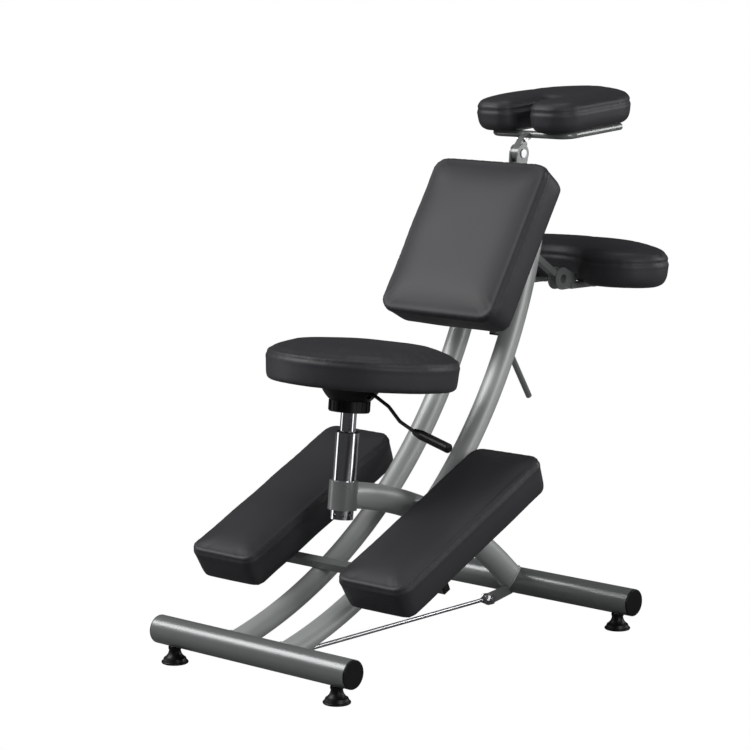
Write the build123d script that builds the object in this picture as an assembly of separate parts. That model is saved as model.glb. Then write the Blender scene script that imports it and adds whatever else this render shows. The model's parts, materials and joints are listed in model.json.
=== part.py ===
from build123d import *
from math import sin, cos, atan2, degrees, radians, sqrt
import os

# Sizes are in millimetres and angles in degrees.
# Y runs from the front floor bar towards the armrest, X across the chair, Z up from the floor.

# Fits and common values
running_gap = 0.05
moving_gap = 0.3
plug_gap = 0.15
screw_gap = 0.1
cut_over = 2
sheet = 3
weld_reach = 8
quarter_turn = 90

# Floor bars
wheelbase = 715
bar_dia = 50.8
bar_wall = 2
front_bar_length = 456
rear_bar_length = 564
bar_cap_face = 3
bar_cap_round = 1.8
bar_cap_plug = 16

# Levelling feet
foot_radius = 24
foot_rim = 4.5
foot_dome = 10
foot_height = 29.8
foot_neck_radius = 10.5
foot_collar_radius = 11.5
foot_collar_height = 4
foot_stem_radius = 5
foot_stem_length = 30
foot_inset = 35
insert_radius = 8
insert_height = 14

# Curved rails
rail_side = 58.9
rail_width = 44.2
rail_depth = 35.8
rail_wall = 2
rail_radius = 888.6
rail_start_angle = 11.7
rail_top_angle = 80.6
rail_cap_face = 3
rail_cap_plug = 12

# Knee rests
knee_bar_angle = 28
knee_slope = 24.85
knee_bar_size = 16
knee_bar_wall = 1.5
knee_bar_half = 240
knee_bar_seat = 0.7
knee_cap_face = 3
knee_cap_plug = 14
knee_pad_side = 176.5
knee_pad_width = 157
knee_pad_length = 423
knee_pad_centre = 98.5
knee_pad_height = 67
knee_pad_corner = 24
knee_board_height = 12
knee_plate_width = 60
knee_plate_length = 220
knee_plate_centre = 60
knee_screw_inset = 14

# Seat arm and column socket
arm_dia = 48
arm_wall = 2
arm_straight = 51.6
arm_end_slope = 40.8
arm_radius = 880
arm_start_slope = 7.8
socket_forward = 8.5
column_tilt = 6
socket_radius = 26
socket_height = 51.6

# Bolts and the tie rod
bolt_radius = 5
bolt_head = 6.4
hex_radius = 9.8
bolt_tail = 3
nut_height = 8
spacer_wall = 3
tie_radius = 3.75
tie_eye_radius = 10.5
tie_eye = 4
tie_flat = 13
tie_height = 31.5
tie_front = 52
tie_rear_back = 80
lug_radius = 11.5
lug_sheet = 4
lug_weld_radius = 10
lug_weld_in = 14
lug_weld_height = 40

# Gas column
column_radius = 20.75
column_bore_radius = 16.5
column_top = 111
column_ring_height = 17
column_ring_bore = 15.5
column_ring_holes = 8
column_ring_hole_radius = 3
bush_height = 15
bush_flange = 2
bush_flange_radius = 19
rod_radius = 14.3
rod_low = -15
rod_top = 179
rod_chamfer = 1
valve_radius = 4
valve_low = 155
valve_proud = 4.6
valve_stroke = 4.8

# Seat
hub_bottom = 148
hub_radius = 36
hub_straight = 20
hub_flare_radius = 53.5
hub_flare_lip = 4
hub_bowl_share = 0.62
hub_wall = 3
hub_ribs = 20
hub_rib = 1.6
hub_rib_high = 1.2
seat_bottom = 195.5
seat_plate_radius = 49
block_radius = 22
block_low = 152
rod_seat_room = 1
seat_offset = 27.3
seat_base_radius = 169
seat_radius = 172
seat_seam = 47
seat_shoulder_radius = 157
seat_shoulder = 64
seat_height = 75
seat_edge_round = 6
seat_board_radius = 148
seat_board_height = 12
seat_screw_circle = 38

# Lift lever
lever_wire_radius = 3.25
lever_pivot_x = 27
lever_pivot_height = 186
lever_eye_radius = 6
lever_eye_width = 9
lever_pin_radius = 2.5
lever_ear = 3
lever_ear_length = 14
lever_tail_height = 5
lever_tail_end = 4
lever_slot_low = 174
lever_slot_out = 57
lever_route = ((27, 186), (60, 181), (91, 167), (119, 144), (153, 130.5), (212, 115.8))
lever_bend_radius = 22
grip_start = 153
grip_end = 235
grip_radius = 8.6
grip_neck_radius = 5.5

# Headrest post and sleeve
hinge_y = 719
hinge_z = 870.2
post_lean = 11
post_depth = 20
post_width = 14.4
post_wall = 2
post_top = 20
post_bottom = 340
post_plug_face = 3
post_plug = 10
sleeve_wall = 2.5
sleeve_top = 118
stay_height = 20
stay_upper = 140
stay_lower = 200
stay_forward = 24
stay_reach = 50

# Clamp lever on the sleeve
clamp_down = 290
sleeve_past_clamp = 35
clamp_nut_radius = 12
clamp_nut_height = 6
clamp_collar_radius = 11
clamp_collar = 12.2
clamp_rod_radius = 5.8
clamp_rod_out = 156
clamp_rod_drop = 160
clamp_rod_round = 1.5

# Ratchet hinges of the headrest and armrest
hinge_sheet = 2.8
head_plate_radius = 17
head_plate_foot_radius = 12
head_plate_foot = 46
head_knuckle_radius = 16
neck_out = 5
neck_up = 27
neck_radius = 5.5
neck_foot_radius = 5
rivet_radius = 5
rivet_head_radius = 8
rivet_head = 2

# Headrest frame and pad
head_frame_back = 23.8
head_frame_up = 39.3
head_frame_rise = 3.9
head_tube_radius = 6.8
head_tube_wall = 1.5
head_frame_half = 90
head_frame_reach = 163
head_frame_bend = 22
head_screw_shares = (0.3, 0.85)
head_screw_radius = 3.8
head_board_height = 9
head_pad_half = 114
head_pad_front = -43
head_pad_back = 243
head_pad_height = 60
head_slot_half = 20
head_slot_end = 72
head_tip_outer = 46
head_tip_inner = 32

# Armrest
arm_hinge_y = 768.4
arm_hinge_z = 635.5
arm_tilt = 1
arm_rail_height = 694
arm_bar_radius = 6
arm_knuckle_radius = 19
arm_plate_radius = 21
arm_plate_foot = 78
arm_plate_foot_radius = 4
arm_strip_length = 150
arm_strip_start = 24
arm_plate_clear = 42
arm_strip_width = 26
arm_strip = 10
arm_pad_lobe_x = 142
arm_pad_lobe_y = 91
arm_pad_lobe = 84
arm_pad_back_radius = 312.4
arm_pad_notch_radius = 110
arm_pad_height = 70
arm_board_height = 10

# Chest pad
chest_y = 611.4
chest_z = 691.2
chest_lean = 32.1
chest_width = 269
chest_length = 321
chest_height = 70
chest_corner = 30
chest_board_height = 12
chest_top_low = 85
chest_top_high = 125
chest_top_half = 70
chest_top_rail_low = 79
chest_top_rail_high = 80.3
chest_low_start = -130
chest_low_end = -70
chest_low_half = 35
chest_low_sleeve_high = 222
chest_low_sleeve_low = 265
chest_screw_inset = 12
cheek = 4

# Pads
side_bow = 2
board_inset = 20
edge_round = 12
pad_height_shares = (0, 0.06, 0.45, 0.88, 0.96, 1)
pad_inset_shares = (0.6, 0.42, 0.2, 0, 0.3, 1.4)
round_height_shares = (0, 0.12, 0.48, 0.8, 0.93, 1)
round_inset_shares = (1.25, 0.5, 0, 0.15, 0.6, 1.6)
chamfer_share = 0.33
quarter_share = 0.25
waist_share = 0.12

# Wood screws
screw_radius = 2.4
screw_head_radius = 5
screw_head = 2.6
screw_length = 9

bar_radius = bar_dia / 2
bar_bore = bar_radius - bar_wall
bar_z = foot_height + moving_gap + bar_radius
sleeve_bottom = clamp_down + sleeve_past_clamp
half_front_bar = front_bar_length / 2
half_rear_bar = rear_bar_length / 2


def tilted(y, z, tilt, x=0):
    """A plane across the chair whose normal leans from +Z towards +Y by tilt."""
    normal = (0, sin(radians(tilt)), cos(radians(tilt)))
    return Plane(origin=(x, y, z), x_dir=(1, 0, 0), z_dir=normal)


def put(plane, shape):
    return plane.location * shape


def along(plane, y, z):
    """Chair Y and Z of a point given by its Y and Z in a tilted plane."""
    point = plane.from_local_coords(Vector(0, y, z))
    return point.Y, point.Z


def upright(radius, low, high):
    return Pos(0, 0, low) * Cylinder(radius, high - low, align=(Align.CENTER, Align.CENTER, Align.MIN))


def cross(radius, left, right, y=0, z=0):
    """A round bar along X from left to right."""
    turned = Rot(0, 90, 0) * Cylinder(radius, right - left, align=(Align.CENTER, Align.CENTER, Align.MIN))
    return Pos(left, y, z) * turned


def block(x, y, z):
    """A box between pairs of low and high limits."""
    size = Box(x[1] - x[0], y[1] - y[0], z[1] - z[0], align=(Align.MIN, Align.MIN, Align.MIN))
    return Pos(x[0], y[0], z[0]) * size


def side_sheet(face, left, right):
    """A flat face of Y and Z, given its thickness along X."""
    return Pos(left, 0, 0) * extrude(Plane.YZ * face, right - left, dir=(1, 0, 0))


def link(first, second):
    """The outline round two circles, each given as y, z and radius."""
    circles = [Pos(y, z) * Circle(radius) for y, z, radius in (first, second)]
    return make_hull((circles[0] + circles[1]).edges())


def mirrored(shape):
    return mirror(shape, Plane.YZ)


def both_sides(shape):
    return [shape, mirrored(shape)]


# Outlines and lofts of the pads

def rounded_edges(half_x, half_y, corner, bow):
    """Four sides drawn in by bow, joined by corner arcs."""
    flat_x, flat_y = half_x - corner, half_y - corner
    turn = corner * cos(radians(45))
    edges = []
    for sx, sy in ((1, 1), (-1, 1), (-1, -1), (1, -1)):
        start = (sx * half_x, sy * flat_y)
        end = (sx * flat_x, sy * half_y)
        middle = (sx * (flat_x + turn), sy * (flat_y + turn))
        points = (start, middle, end) if sx * sy > 0 else (end, middle, start)
        edges.append(ThreePointArc(*points))
    sides = [
        ThreePointArc((flat_x, half_y), (0, half_y - bow), (-flat_x, half_y)),
        ThreePointArc((-half_x, flat_y), (bow - half_x, 0), (-half_x, -flat_y)),
        ThreePointArc((-flat_x, -half_y), (0, bow - half_y), (flat_x, -half_y)),
        ThreePointArc((half_x, -flat_y), (half_x - bow, 0), (half_x, flat_y)),
    ]
    return [edge for pair in zip(edges, sides) for edge in pair]


def oblong_outline(width, length, corner):
    def outline(inset):
        return rounded_edges(width / 2 - inset, length / 2 - inset, corner - inset / 2, side_bow)
    return outline


def horseshoe_outline(inset):
    """Two limbs either side of a slot, joined by a round end."""
    outer, slot = head_pad_half - inset, head_slot_half + inset
    front = head_pad_front + inset
    end_y = head_pad_back - head_pad_half
    tip_out, tip_in = head_tip_outer - inset, head_tip_inner - inset / 2
    turn_out, turn_in = tip_out * cos(radians(45)), tip_in * cos(radians(45))
    outer_turn, slot_turn = outer * cos(radians(45)), slot * cos(radians(45))
    edges = []
    for side in (1, -1):
        edges += [
            ThreePointArc((0, end_y + outer), (side * outer_turn, end_y + outer_turn), (side * outer, end_y)),
            Line((side * outer, end_y), (side * outer, front + tip_out)),
            ThreePointArc((side * outer, front + tip_out),
                          (side * (outer - tip_out + turn_out), front + tip_out - turn_out),
                          (side * (outer - tip_out), front)),
            Line((side * (outer - tip_out), front), (side * (slot + tip_in), front)),
            ThreePointArc((side * (slot + tip_in), front),
                          (side * (slot + tip_in - turn_in), front + tip_in - turn_in),
                          (side * slot, front + tip_in)),
            Line((side * slot, front + tip_in), (side * slot, head_slot_end)),
            ThreePointArc((side * slot, head_slot_end), (side * slot_turn, head_slot_end + slot_turn),
                          (0, head_slot_end + slot)),
        ]
    return edges


def on_circle(centre, radius, angle):
    return centre[0] + radius * cos(radians(angle)), centre[1] + radius * sin(radians(angle))


def crescent_outline(inset):
    """A large back arc, two round lobes and a notch arc between them, each tangent to the next."""
    lobe = (arm_pad_lobe_x, arm_pad_lobe_y)
    back = (0, lobe[1] - sqrt((arm_pad_back_radius - arm_pad_lobe) ** 2 - lobe[0] ** 2))
    notch = (0, lobe[1] - sqrt((arm_pad_notch_radius + arm_pad_lobe) ** 2 - lobe[0] ** 2))
    back_angle = degrees(atan2(lobe[1] - back[1], lobe[0]))
    notch_angle = degrees(atan2(lobe[1] - notch[1], lobe[0]))
    lobe_angle = (back_angle + notch_angle - 180) / 2
    lobe_radius = arm_pad_lobe - inset
    starts = [on_circle(lobe, lobe_radius, angle) for angle in (back_angle, lobe_angle, notch_angle - 180)]
    quarters = [on_circle(lobe, lobe_radius, (back_angle + lobe_angle) / 2),
                on_circle(lobe, lobe_radius, (lobe_angle + notch_angle - 180) / 2)]
    back_top = (0, back[1] + arm_pad_back_radius - inset)
    notch_top = (0, notch[1] + arm_pad_notch_radius + inset)
    back_half = on_circle(back, arm_pad_back_radius - inset, (back_angle + 90) / 2)
    notch_half = on_circle(notch, arm_pad_notch_radius + inset, (notch_angle + 90) / 2)
    edges = []
    for side in (1, -1):
        flip = [(side * x, y) for x, y in (back_top, back_half, *starts, *quarters, notch_half, notch_top)]
        top, half, lobe_start, lobe_side, lobe_end, first, second, inner, bottom = flip
        edges += [
            ThreePointArc(top, half, lobe_start),
            ThreePointArc(lobe_start, first, lobe_side),
            ThreePointArc(lobe_side, second, lobe_end),
            ThreePointArc(lobe_end, inner, bottom),
        ]
    return edges


def padded_form(outline, height, profile):
    """A loft with a pulled-in base, full sides, a rounded shoulder and a low crown."""
    sections = []
    for height_share, inset_share in profile:
        face = make_face(outline(inset_share * edge_round))
        sections.append(Pos(0, 0, height_share * height) * face)
    return loft(sections)


def board_form(outline, height):
    return extrude(make_face(outline(board_inset)), height)


square_profile = tuple(zip(pad_height_shares, pad_inset_shares))
round_profile = tuple(zip(round_height_shares, round_inset_shares))


def pad_and_board(outline, pad_height, board_height, profile=square_profile):
    board = board_form(outline, board_height)
    return padded_form(outline, pad_height, profile) - board, board


def wood_screw(x, y, bearing, into=1):
    """A screw with its head's flat side at bearing, pointing into the board."""
    shank_end = bearing + into * (sheet + screw_length)
    head_end = bearing - into * screw_head
    shank = upright(screw_radius, min(bearing, shank_end), max(bearing, shank_end))
    head = upright(screw_head_radius, min(bearing, head_end), max(bearing, head_end))
    head = chamfer(head.faces().sort_by(Axis.Z)[0 if into > 0 else -1].edges(), screw_head * chamfer_share)
    return Pos(x, y, 0) * (shank + head)


def screw_holes(places, radius, low, high):
    return [Pos(x, y, 0) * upright(radius, low, high) for x, y in places]


# Floor bars and feet

def floor_bar(half_length, y):
    tube = cross(bar_radius, -half_length, half_length) - cross(bar_bore, -half_length, half_length)
    for side in (1, -1):
        x = side * (half_length - foot_inset)
        tube -= Pos(x, 0, 0) * upright(insert_radius, -bar_radius - cut_over, 0)
    return Pos(0, y, bar_z) * tube


def bar_cap(half_length, y):
    face = cross(bar_radius, half_length, half_length + bar_cap_face)
    face = fillet(face.faces().sort_by(Axis.X)[-1].edges(), bar_cap_round)
    plug = cross(bar_bore - plug_gap, half_length - bar_cap_plug, half_length)
    return Pos(0, y, bar_z) * (face + plug)


def foot_places():
    front, rear = half_front_bar - foot_inset, half_rear_bar - foot_inset
    return {
        "front_right_foot": (front, 0),
        "front_left_foot": (-front, 0),
        "rear_right_foot": (rear, wheelbase),
        "rear_left_foot": (-rear, wheelbase),
    }


def foot(x, y):
    """A round pad with a hollow-sided neck, a collar and its threaded stem."""
    collar_z = foot_height - foot_collar_height
    half_z = (foot_dome + collar_z) / 2
    waist = foot_neck_radius + (foot_radius - foot_neck_radius) * waist_share
    profile = [
        Line((0, 0), (foot_radius - foot_rim / 2, 0)),
        ThreePointArc((foot_radius - foot_rim / 2, 0), (foot_radius, foot_rim / 2), (foot_radius - foot_rim / 2, foot_rim)),
        Line((foot_radius - foot_rim / 2, foot_rim), (foot_radius - foot_rim, foot_dome)),
        ThreePointArc((foot_radius - foot_rim, foot_dome), (waist, half_z), (foot_neck_radius, collar_z)),
        Line((foot_neck_radius, collar_z), (foot_collar_radius, collar_z)),
        Line((foot_collar_radius, collar_z), (foot_collar_radius, foot_height)),
        Line((foot_collar_radius, foot_height), (foot_stem_radius, foot_height)),
        Line((foot_stem_radius, foot_height), (foot_stem_radius, foot_height + foot_stem_length)),
        Line((foot_stem_radius, foot_height + foot_stem_length), (0, foot_height + foot_stem_length)),
        Line((0, foot_height + foot_stem_length), (0, 0)),
    ]
    return Pos(x, y, 0) * revolve(Plane.XZ * make_face(profile), Axis.Z)


def foot_insert(x, y):
    base = bar_z - bar_radius
    bush = upright(insert_radius, base, base + insert_height)
    return Pos(x, y, 0) * (bush - upright(foot_stem_radius + running_gap, base, base + insert_height))


# Rails

rail_centre_y = -rail_radius * sin(radians(rail_start_angle))
rail_centre_z = bar_z + rail_radius * cos(radians(rail_start_angle))


def rail_point(angle, out=0):
    """Y and Z on the rail's centre line where its slope is angle, moved out from the arc's centre."""
    reach = rail_radius + out
    return rail_centre_y + reach * sin(radians(angle)), rail_centre_z - reach * cos(radians(angle))


def rail_angle_at(z):
    drop = (rail_centre_z - z) / rail_radius
    return degrees(atan2(sqrt(1 - drop ** 2), drop))


def rail_form(half_width, half_depth, side):
    start_y, start_z = rail_point(rail_start_angle)
    tangent = (0, cos(radians(rail_start_angle)), sin(radians(rail_start_angle)))
    plane = Plane(origin=(side * rail_side, start_y, start_z), x_dir=(1, 0, 0), z_dir=tangent)
    turn = Axis((0, rail_centre_y, rail_centre_z), (1, 0, 0))
    return revolve(plane * Ellipse(half_width, half_depth), turn, rail_top_angle - rail_start_angle)


def rail_outside(side):
    return rail_form(rail_width / 2, rail_depth / 2, side)


def bolt_crossing():
    """Y and Z where the seat arm's arc crosses the rails' arc."""
    reach_y = arm_centre_y - rail_centre_y
    reach_z = arm_centre_z - rail_centre_z
    apart = sqrt(reach_y ** 2 + reach_z ** 2)
    along_share = (apart ** 2 + rail_radius ** 2 - arm_radius ** 2) / (2 * apart ** 2)
    across_share = sqrt(rail_radius ** 2 / apart ** 2 - along_share ** 2)
    y = rail_centre_y + along_share * reach_y - across_share * reach_z
    z = rail_centre_z + along_share * reach_z + across_share * reach_y
    return y, z


def rail(side):
    tube = rail_outside(side) - rail_form(rail_width / 2 - rail_wall, rail_depth / 2 - rail_wall, side)
    tube -= cross(bar_radius, -half_front_bar, half_front_bar, 0, bar_z)
    y, z = bolt_crossing()
    return tube - cross(bolt_radius, -half_front_bar, half_front_bar, y, z)


def rail_cap(side):
    y, z = rail_point(rail_top_angle)
    tangent = (0, cos(radians(rail_top_angle)), sin(radians(rail_top_angle)))
    plane = Plane(origin=(side * rail_side, y, z), x_dir=(1, 0, 0), z_dir=tangent)
    face = extrude(Ellipse(rail_width / 2, rail_depth / 2), rail_cap_face)
    face = chamfer(face.faces().sort_by(Axis.Z)[-1].edges(), rail_cap_face * chamfer_share)
    inner = Ellipse(rail_width / 2 - rail_wall - plug_gap, rail_depth / 2 - rail_wall - plug_gap)
    return put(plane, face + extrude(inner, -rail_cap_plug))


# Seat arm, its socket and the bolt through the rails

arm_arc_end_y = wheelbase - arm_straight * cos(radians(arm_end_slope))
arm_arc_end_z = bar_z + arm_straight * sin(radians(arm_end_slope))
arm_centre_y = arm_arc_end_y - arm_radius * sin(radians(arm_end_slope))
arm_centre_z = arm_arc_end_z - arm_radius * cos(radians(arm_end_slope))
arm_start_y = arm_centre_y + arm_radius * sin(radians(arm_start_slope))
socket_y = arm_start_y + socket_forward
socket_z = arm_centre_z + sqrt(arm_radius ** 2 - (socket_y - arm_centre_y) ** 2)
column = tilted(socket_y, socket_z, column_tilt)


def seat_arm_form(radius):
    slope = arm_start_slope
    start = (0, arm_start_y, arm_centre_z + arm_radius * cos(radians(slope)))
    direction = (0, cos(radians(slope)), -sin(radians(slope)))
    plane = Plane(origin=start, x_dir=(1, 0, 0), z_dir=direction)
    turn = Axis((0, arm_centre_y, arm_centre_z), (-1, 0, 0))
    bend = revolve(plane * Circle(radius), turn, arm_end_slope - slope)
    end = Plane(origin=(0, arm_arc_end_y, arm_arc_end_z), x_dir=(1, 0, 0),
                z_dir=(0, cos(radians(arm_end_slope)), -sin(radians(arm_end_slope))))
    return bend + extrude(end * Circle(radius), arm_straight)


def seat_arm():
    tube = seat_arm_form(arm_dia / 2) - seat_arm_form(arm_dia / 2 - arm_wall)
    tube -= put(column, upright(socket_radius, -socket_height, socket_height))
    tube -= cross(bar_radius, -half_front_bar, half_front_bar, wheelbase, bar_z)
    y, z = bolt_crossing()
    return tube - cross(bolt_radius, -rail_side, rail_side, y, z)


def seat_socket():
    ring = upright(socket_radius, -socket_height / 2, socket_height / 2)
    bore = upright(column_radius + plug_gap, -socket_height / 2, socket_height / 2)
    return put(column, ring - bore)


def hexagon(left, right, y, z):
    """A hexagon head or nut along X with a light chamfer."""
    face = Plane.YZ * RegularPolygon(hex_radius, 6)
    return Pos(left, y, z) * extrude(face, right - left)


def frame_bolt():
    y, z = bolt_crossing()
    side = rail_side + rail_width / 2
    shank = cross(bolt_radius, -side - nut_height - bolt_tail, side, y, z)
    return shank + hexagon(side, side + bolt_head, y, z)


def frame_nut():
    y, z = bolt_crossing()
    side = rail_side + rail_width / 2
    return hexagon(-side - nut_height, -side, y, z) - cross(bolt_radius, -side - nut_height, -side, y, z)


def frame_spacer(side):
    """A spacer tube shaped to the arm at one end and the rail at the other."""
    y, z = bolt_crossing()
    ring = cross(bolt_radius + spacer_wall, 0, rail_side, y, z) - cross(bolt_radius, 0, rail_side, y, z)
    ring -= seat_arm_form(arm_dia / 2)
    ring -= rail_outside(1)
    ring = max(ring.solids(), key=lambda solid: solid.volume)
    return ring if side > 0 else mirrored(ring)


# Tie rod and its lugs

tie_rear = wheelbase - tie_rear_back


def tie_rod():
    """A round rod with a flattened eye at each end."""
    start, end = tie_front + tie_flat, tie_rear - tie_flat
    rod = Pos(0, start, tie_height) * (Rot(-90, 0, 0) * upright(tie_radius, 0, end - start))
    for eye_y, neck_y in ((tie_front, start + tie_radius), (tie_rear, end - tie_radius)):
        outline = link((eye_y, tie_height, tie_eye_radius), (neck_y, tie_height, tie_radius))
        rod += side_sheet(outline, -tie_eye / 2, tie_eye / 2)
        rod -= cross(bolt_radius, -tie_eye, tie_eye, eye_y, tie_height)
    return rod


def tie_lug(bolt_y, bar_y, inward):
    weld_y = bar_y + inward * lug_weld_in
    outline = link((bolt_y, tie_height, lug_radius), (weld_y, lug_weld_height, lug_weld_radius))
    plate = side_sheet(outline, tie_eye / 2, tie_eye / 2 + lug_sheet)
    plate -= cross(bar_radius, -half_front_bar, half_front_bar, bar_y, bar_z)
    plate -= seat_arm_form(arm_dia / 2)
    plate -= cross(bolt_radius, 0, rail_side, bolt_y, tie_height)
    return max(plate.solids(), key=lambda solid: solid.volume)


def tie_bolt(y):
    end = tie_eye / 2 + lug_sheet + nut_height + bolt_tail
    head = hexagon(-tie_eye / 2 - bolt_head, -tie_eye / 2, y, tie_height)
    return head + cross(bolt_radius, -tie_eye / 2, end, y, tie_height)


def tie_nut(y):
    start = tie_eye / 2 + lug_sheet
    nut = hexagon(start, start + nut_height, y, tie_height)
    return nut - cross(bolt_radius, start, start + nut_height, y, tie_height)


# Gas column

def column_tube():
    half = socket_height / 2
    tube = upright(column_radius, -half, half) + upright(column_radius, half, column_top)
    return put(column, tube - upright(column_bore_radius, -half, column_top))


def column_ring():
    low, high = -socket_height / 2 - column_ring_height, -socket_height / 2
    ring = upright(column_radius, low, high) - upright(column_ring_bore, low, high)
    for step in range(column_ring_holes):
        hole = cross(column_ring_hole_radius, 0, column_radius, 0, (low + high) / 2)
        ring -= Rot(0, 0, step * 360 / column_ring_holes) * hole
    return put(column, ring)


def column_bushes():
    half = socket_height / 2
    top = upright(column_bore_radius, column_top - bush_height, column_top)
    top += upright(bush_flange_radius, column_top, column_top + bush_flange)
    low = upright(column_bore_radius, -half, bush_height - half)
    bore = upright(rod_radius + running_gap, -socket_height, column_top + bush_height)
    return [put(column, top - bore), put(column, low - bore)]


def seat_rod():
    rod = upright(rod_radius, rod_low, rod_top)
    rod = chamfer(rod.edges().filter_by(GeomType.CIRCLE), rod_chamfer)
    room = upright(valve_radius + running_gap, valve_low - valve_stroke - running_gap, rod_top)
    return put(column, rod - room)


def valve_pin():
    pin = upright(valve_radius, valve_low, rod_top + valve_proud)
    return put(column, pin)


# Seat

def seat_mechanism():
    """The steel plate with the block that takes the rod and the two ears of the lever pin."""
    plate_low = seat_bottom - sheet
    body = upright(block_radius, block_low, plate_low) + upright(seat_plate_radius, plate_low, seat_bottom)
    inner = lever_eye_width / 2 + moving_gap
    ear_x = (lever_pivot_x - lever_ear_length / 2, lever_pivot_x + lever_ear_length / 2)
    ear_z = (lever_pivot_height - lever_eye_radius, plate_low)
    body += block(ear_x, (-inner - lever_ear, inner + lever_ear), ear_z)
    slot_low = rod_top + rod_seat_room
    body -= upright(rod_radius + running_gap, block_low, slot_low)
    reach = lever_pivot_x + lever_ear_length
    slot_z = (lever_pivot_height - lever_eye_radius - lever_tail_height, plate_low)
    body -= block((-valve_radius - lever_tail_end, reach), (-inner, inner), slot_z)
    body -= Pos(lever_pivot_x, 0, lever_pivot_height) * across(lever_pin_radius, hub_radius)
    for x, y in seat_screw_places():
        body -= Pos(x, y, 0) * upright(screw_radius + screw_gap, plate_low, seat_bottom)
    return put(column, body)


def across(radius, half_length):
    """A round bar along Y, centred."""
    return Rot(90, 0, 0) * Cylinder(radius, 2 * half_length)


def hub_cover():
    """A moulded shroud: ribbed drum below, flared dish above, open where the lever leaves."""
    shell = revolve(Plane.XZ * hub_face(0), Axis.Z) - revolve(Plane.XZ * hub_face(hub_wall), Axis.Z)
    shell -= upright(rod_radius + rod_seat_room, hub_bottom - cut_over, seat_bottom)
    for step in range(hub_ribs):
        rib = block((hub_radius - hub_wall / 2, hub_radius + hub_rib_high), (-hub_rib / 2, hub_rib / 2),
                    (hub_bottom + hub_rib, hub_bottom + hub_straight))
        shell += Rot(0, 0, (step + 1 / 2) * 360 / hub_ribs) * rib
    half = lever_eye_width / 2 + moving_gap
    shell -= block((block_radius, lever_slot_out), (-half, half), (lever_slot_low, seat_bottom - hub_flare_lip))
    return put(column, shell)


def hub_face(wall):
    """Half section of the shroud, or of its hollow when wall is given."""
    low = hub_bottom + wall
    knee = hub_bottom + hub_straight
    lip = seat_bottom - hub_flare_lip
    high = seat_bottom
    drum, rim = hub_radius - wall, hub_flare_radius - wall
    middle = (drum + (rim - drum) * hub_bowl_share, knee + (lip - knee) / 2)
    profile = [
        Line((0, low), (drum, low)),
        Line((drum, low), (drum, knee)),
        ThreePointArc((drum, knee), middle, (rim, lip)),
        Line((rim, lip), (rim, high)),
        Line((rim, high), (0, high)),
        Line((0, high), (0, low)),
    ]
    return make_face(profile)


def seat_screw_places():
    return [on_circle((0, 0), seat_screw_circle, step * 90 + 45) for step in range(4)]


def seat_board():
    board = Pos(0, seat_offset, 0) * upright(seat_board_radius, seat_bottom, seat_bottom + seat_board_height)
    for hole in screw_holes(seat_screw_places(), screw_radius, seat_bottom, seat_bottom + screw_length):
        board -= hole
    return put(column, board)


def seat_screws():
    return [put(column, wood_screw(x, y, seat_bottom - sheet)) for x, y in seat_screw_places()]


def seat_cushion():
    """A round cushion: rounded base edge, swelling side up to the seam, then shoulder and crown."""
    base, seam, shoulder, top = 0, seat_seam, seat_shoulder, seat_height
    side_middle = (seat_radius - seat_edge_round * quarter_share, seam / 2)
    crown = (seat_shoulder_radius ** 2 + (top - shoulder) ** 2) / (2 * (top - shoulder))
    half_turn = atan2(seat_shoulder_radius, crown - top + shoulder) / 2
    profile = [
        Line((0, base), (seat_base_radius - seat_edge_round, base)),
        ThreePointArc((seat_base_radius - seat_edge_round, base),
                      (seat_base_radius - seat_edge_round * quarter_share, seat_edge_round * chamfer_share),
                      (seat_base_radius, seat_edge_round)),
        ThreePointArc((seat_base_radius, seat_edge_round), side_middle, (seat_radius, seam)),
        ThreePointArc((seat_radius, seam), (seat_radius - seat_edge_round, (seam + shoulder) / 2),
                      (seat_shoulder_radius, shoulder)),
        ThreePointArc((seat_shoulder_radius, shoulder), (crown * sin(half_turn), top - crown * (1 - cos(half_turn))),
                      (0, top)),
        Line((0, top), (0, base)),
    ]
    cushion = revolve(Plane.XZ * make_face(profile), Axis.Z) - upright(seat_board_radius, 0, seat_board_height)
    return put(column, Pos(0, seat_offset, seat_bottom) * cushion)


def lever_pin():
    half = lever_eye_width / 2 + moving_gap + lever_ear
    return put(column, Pos(lever_pivot_x, 0, lever_pivot_height) * across(lever_pin_radius, half))


def lift_lever():
    """A bent wire with a pivot eye and a flat tail over the valve pin."""
    route = FilletPolyline(*[(x, 0, z) for x, z in lever_route], radius=lever_bend_radius)
    start = Plane(origin=route @ 0, z_dir=route % 0)
    lever = sweep(start * Circle(lever_wire_radius), route)
    eye = Pos(lever_pivot_x, 0, lever_pivot_height) * across(lever_eye_radius, lever_eye_width / 2)
    tail_low = rod_top + valve_proud + moving_gap
    half = lever_eye_width / 2
    tail = block((-lever_tail_end, lever_pivot_x), (-half, half), (tail_low, tail_low + lever_tail_height))
    bore = Pos(lever_pivot_x, 0, lever_pivot_height) * across(lever_pin_radius + running_gap, hub_radius)
    return put(column, lever + eye + tail - bore)


def lever_grip():
    (start_x, start_z), (end_x, end_z) = lever_route[-2], lever_route[-1]
    run = sqrt((end_x - start_x) ** 2 + (end_z - start_z) ** 2)
    direction = ((end_x - start_x) / run, 0, (end_z - start_z) / run)
    plane = Plane(origin=(start_x, 0, start_z), x_dir=(0, 1, 0), z_dir=direction)
    length = (grip_end - grip_start) / direction[0]
    neck = grip_radius * 2
    body = upright(grip_radius, neck, length)
    body = fillet(body.faces().sort_by(Axis.Z)[-1].edges(), grip_radius / 2)
    body += Cone(grip_neck_radius, grip_radius, neck, align=(Align.CENTER, Align.CENTER, Align.MIN))
    grip = plane.location * (body - upright(lever_wire_radius, 0, run))
    keep = FilletPolyline(*[(x, 0, z) for x, z in lever_route], radius=lever_bend_radius)
    wire = sweep(Plane(origin=keep @ 0, z_dir=keep % 0) * Circle(lever_wire_radius), keep)
    return put(column, grip - wire)


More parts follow.
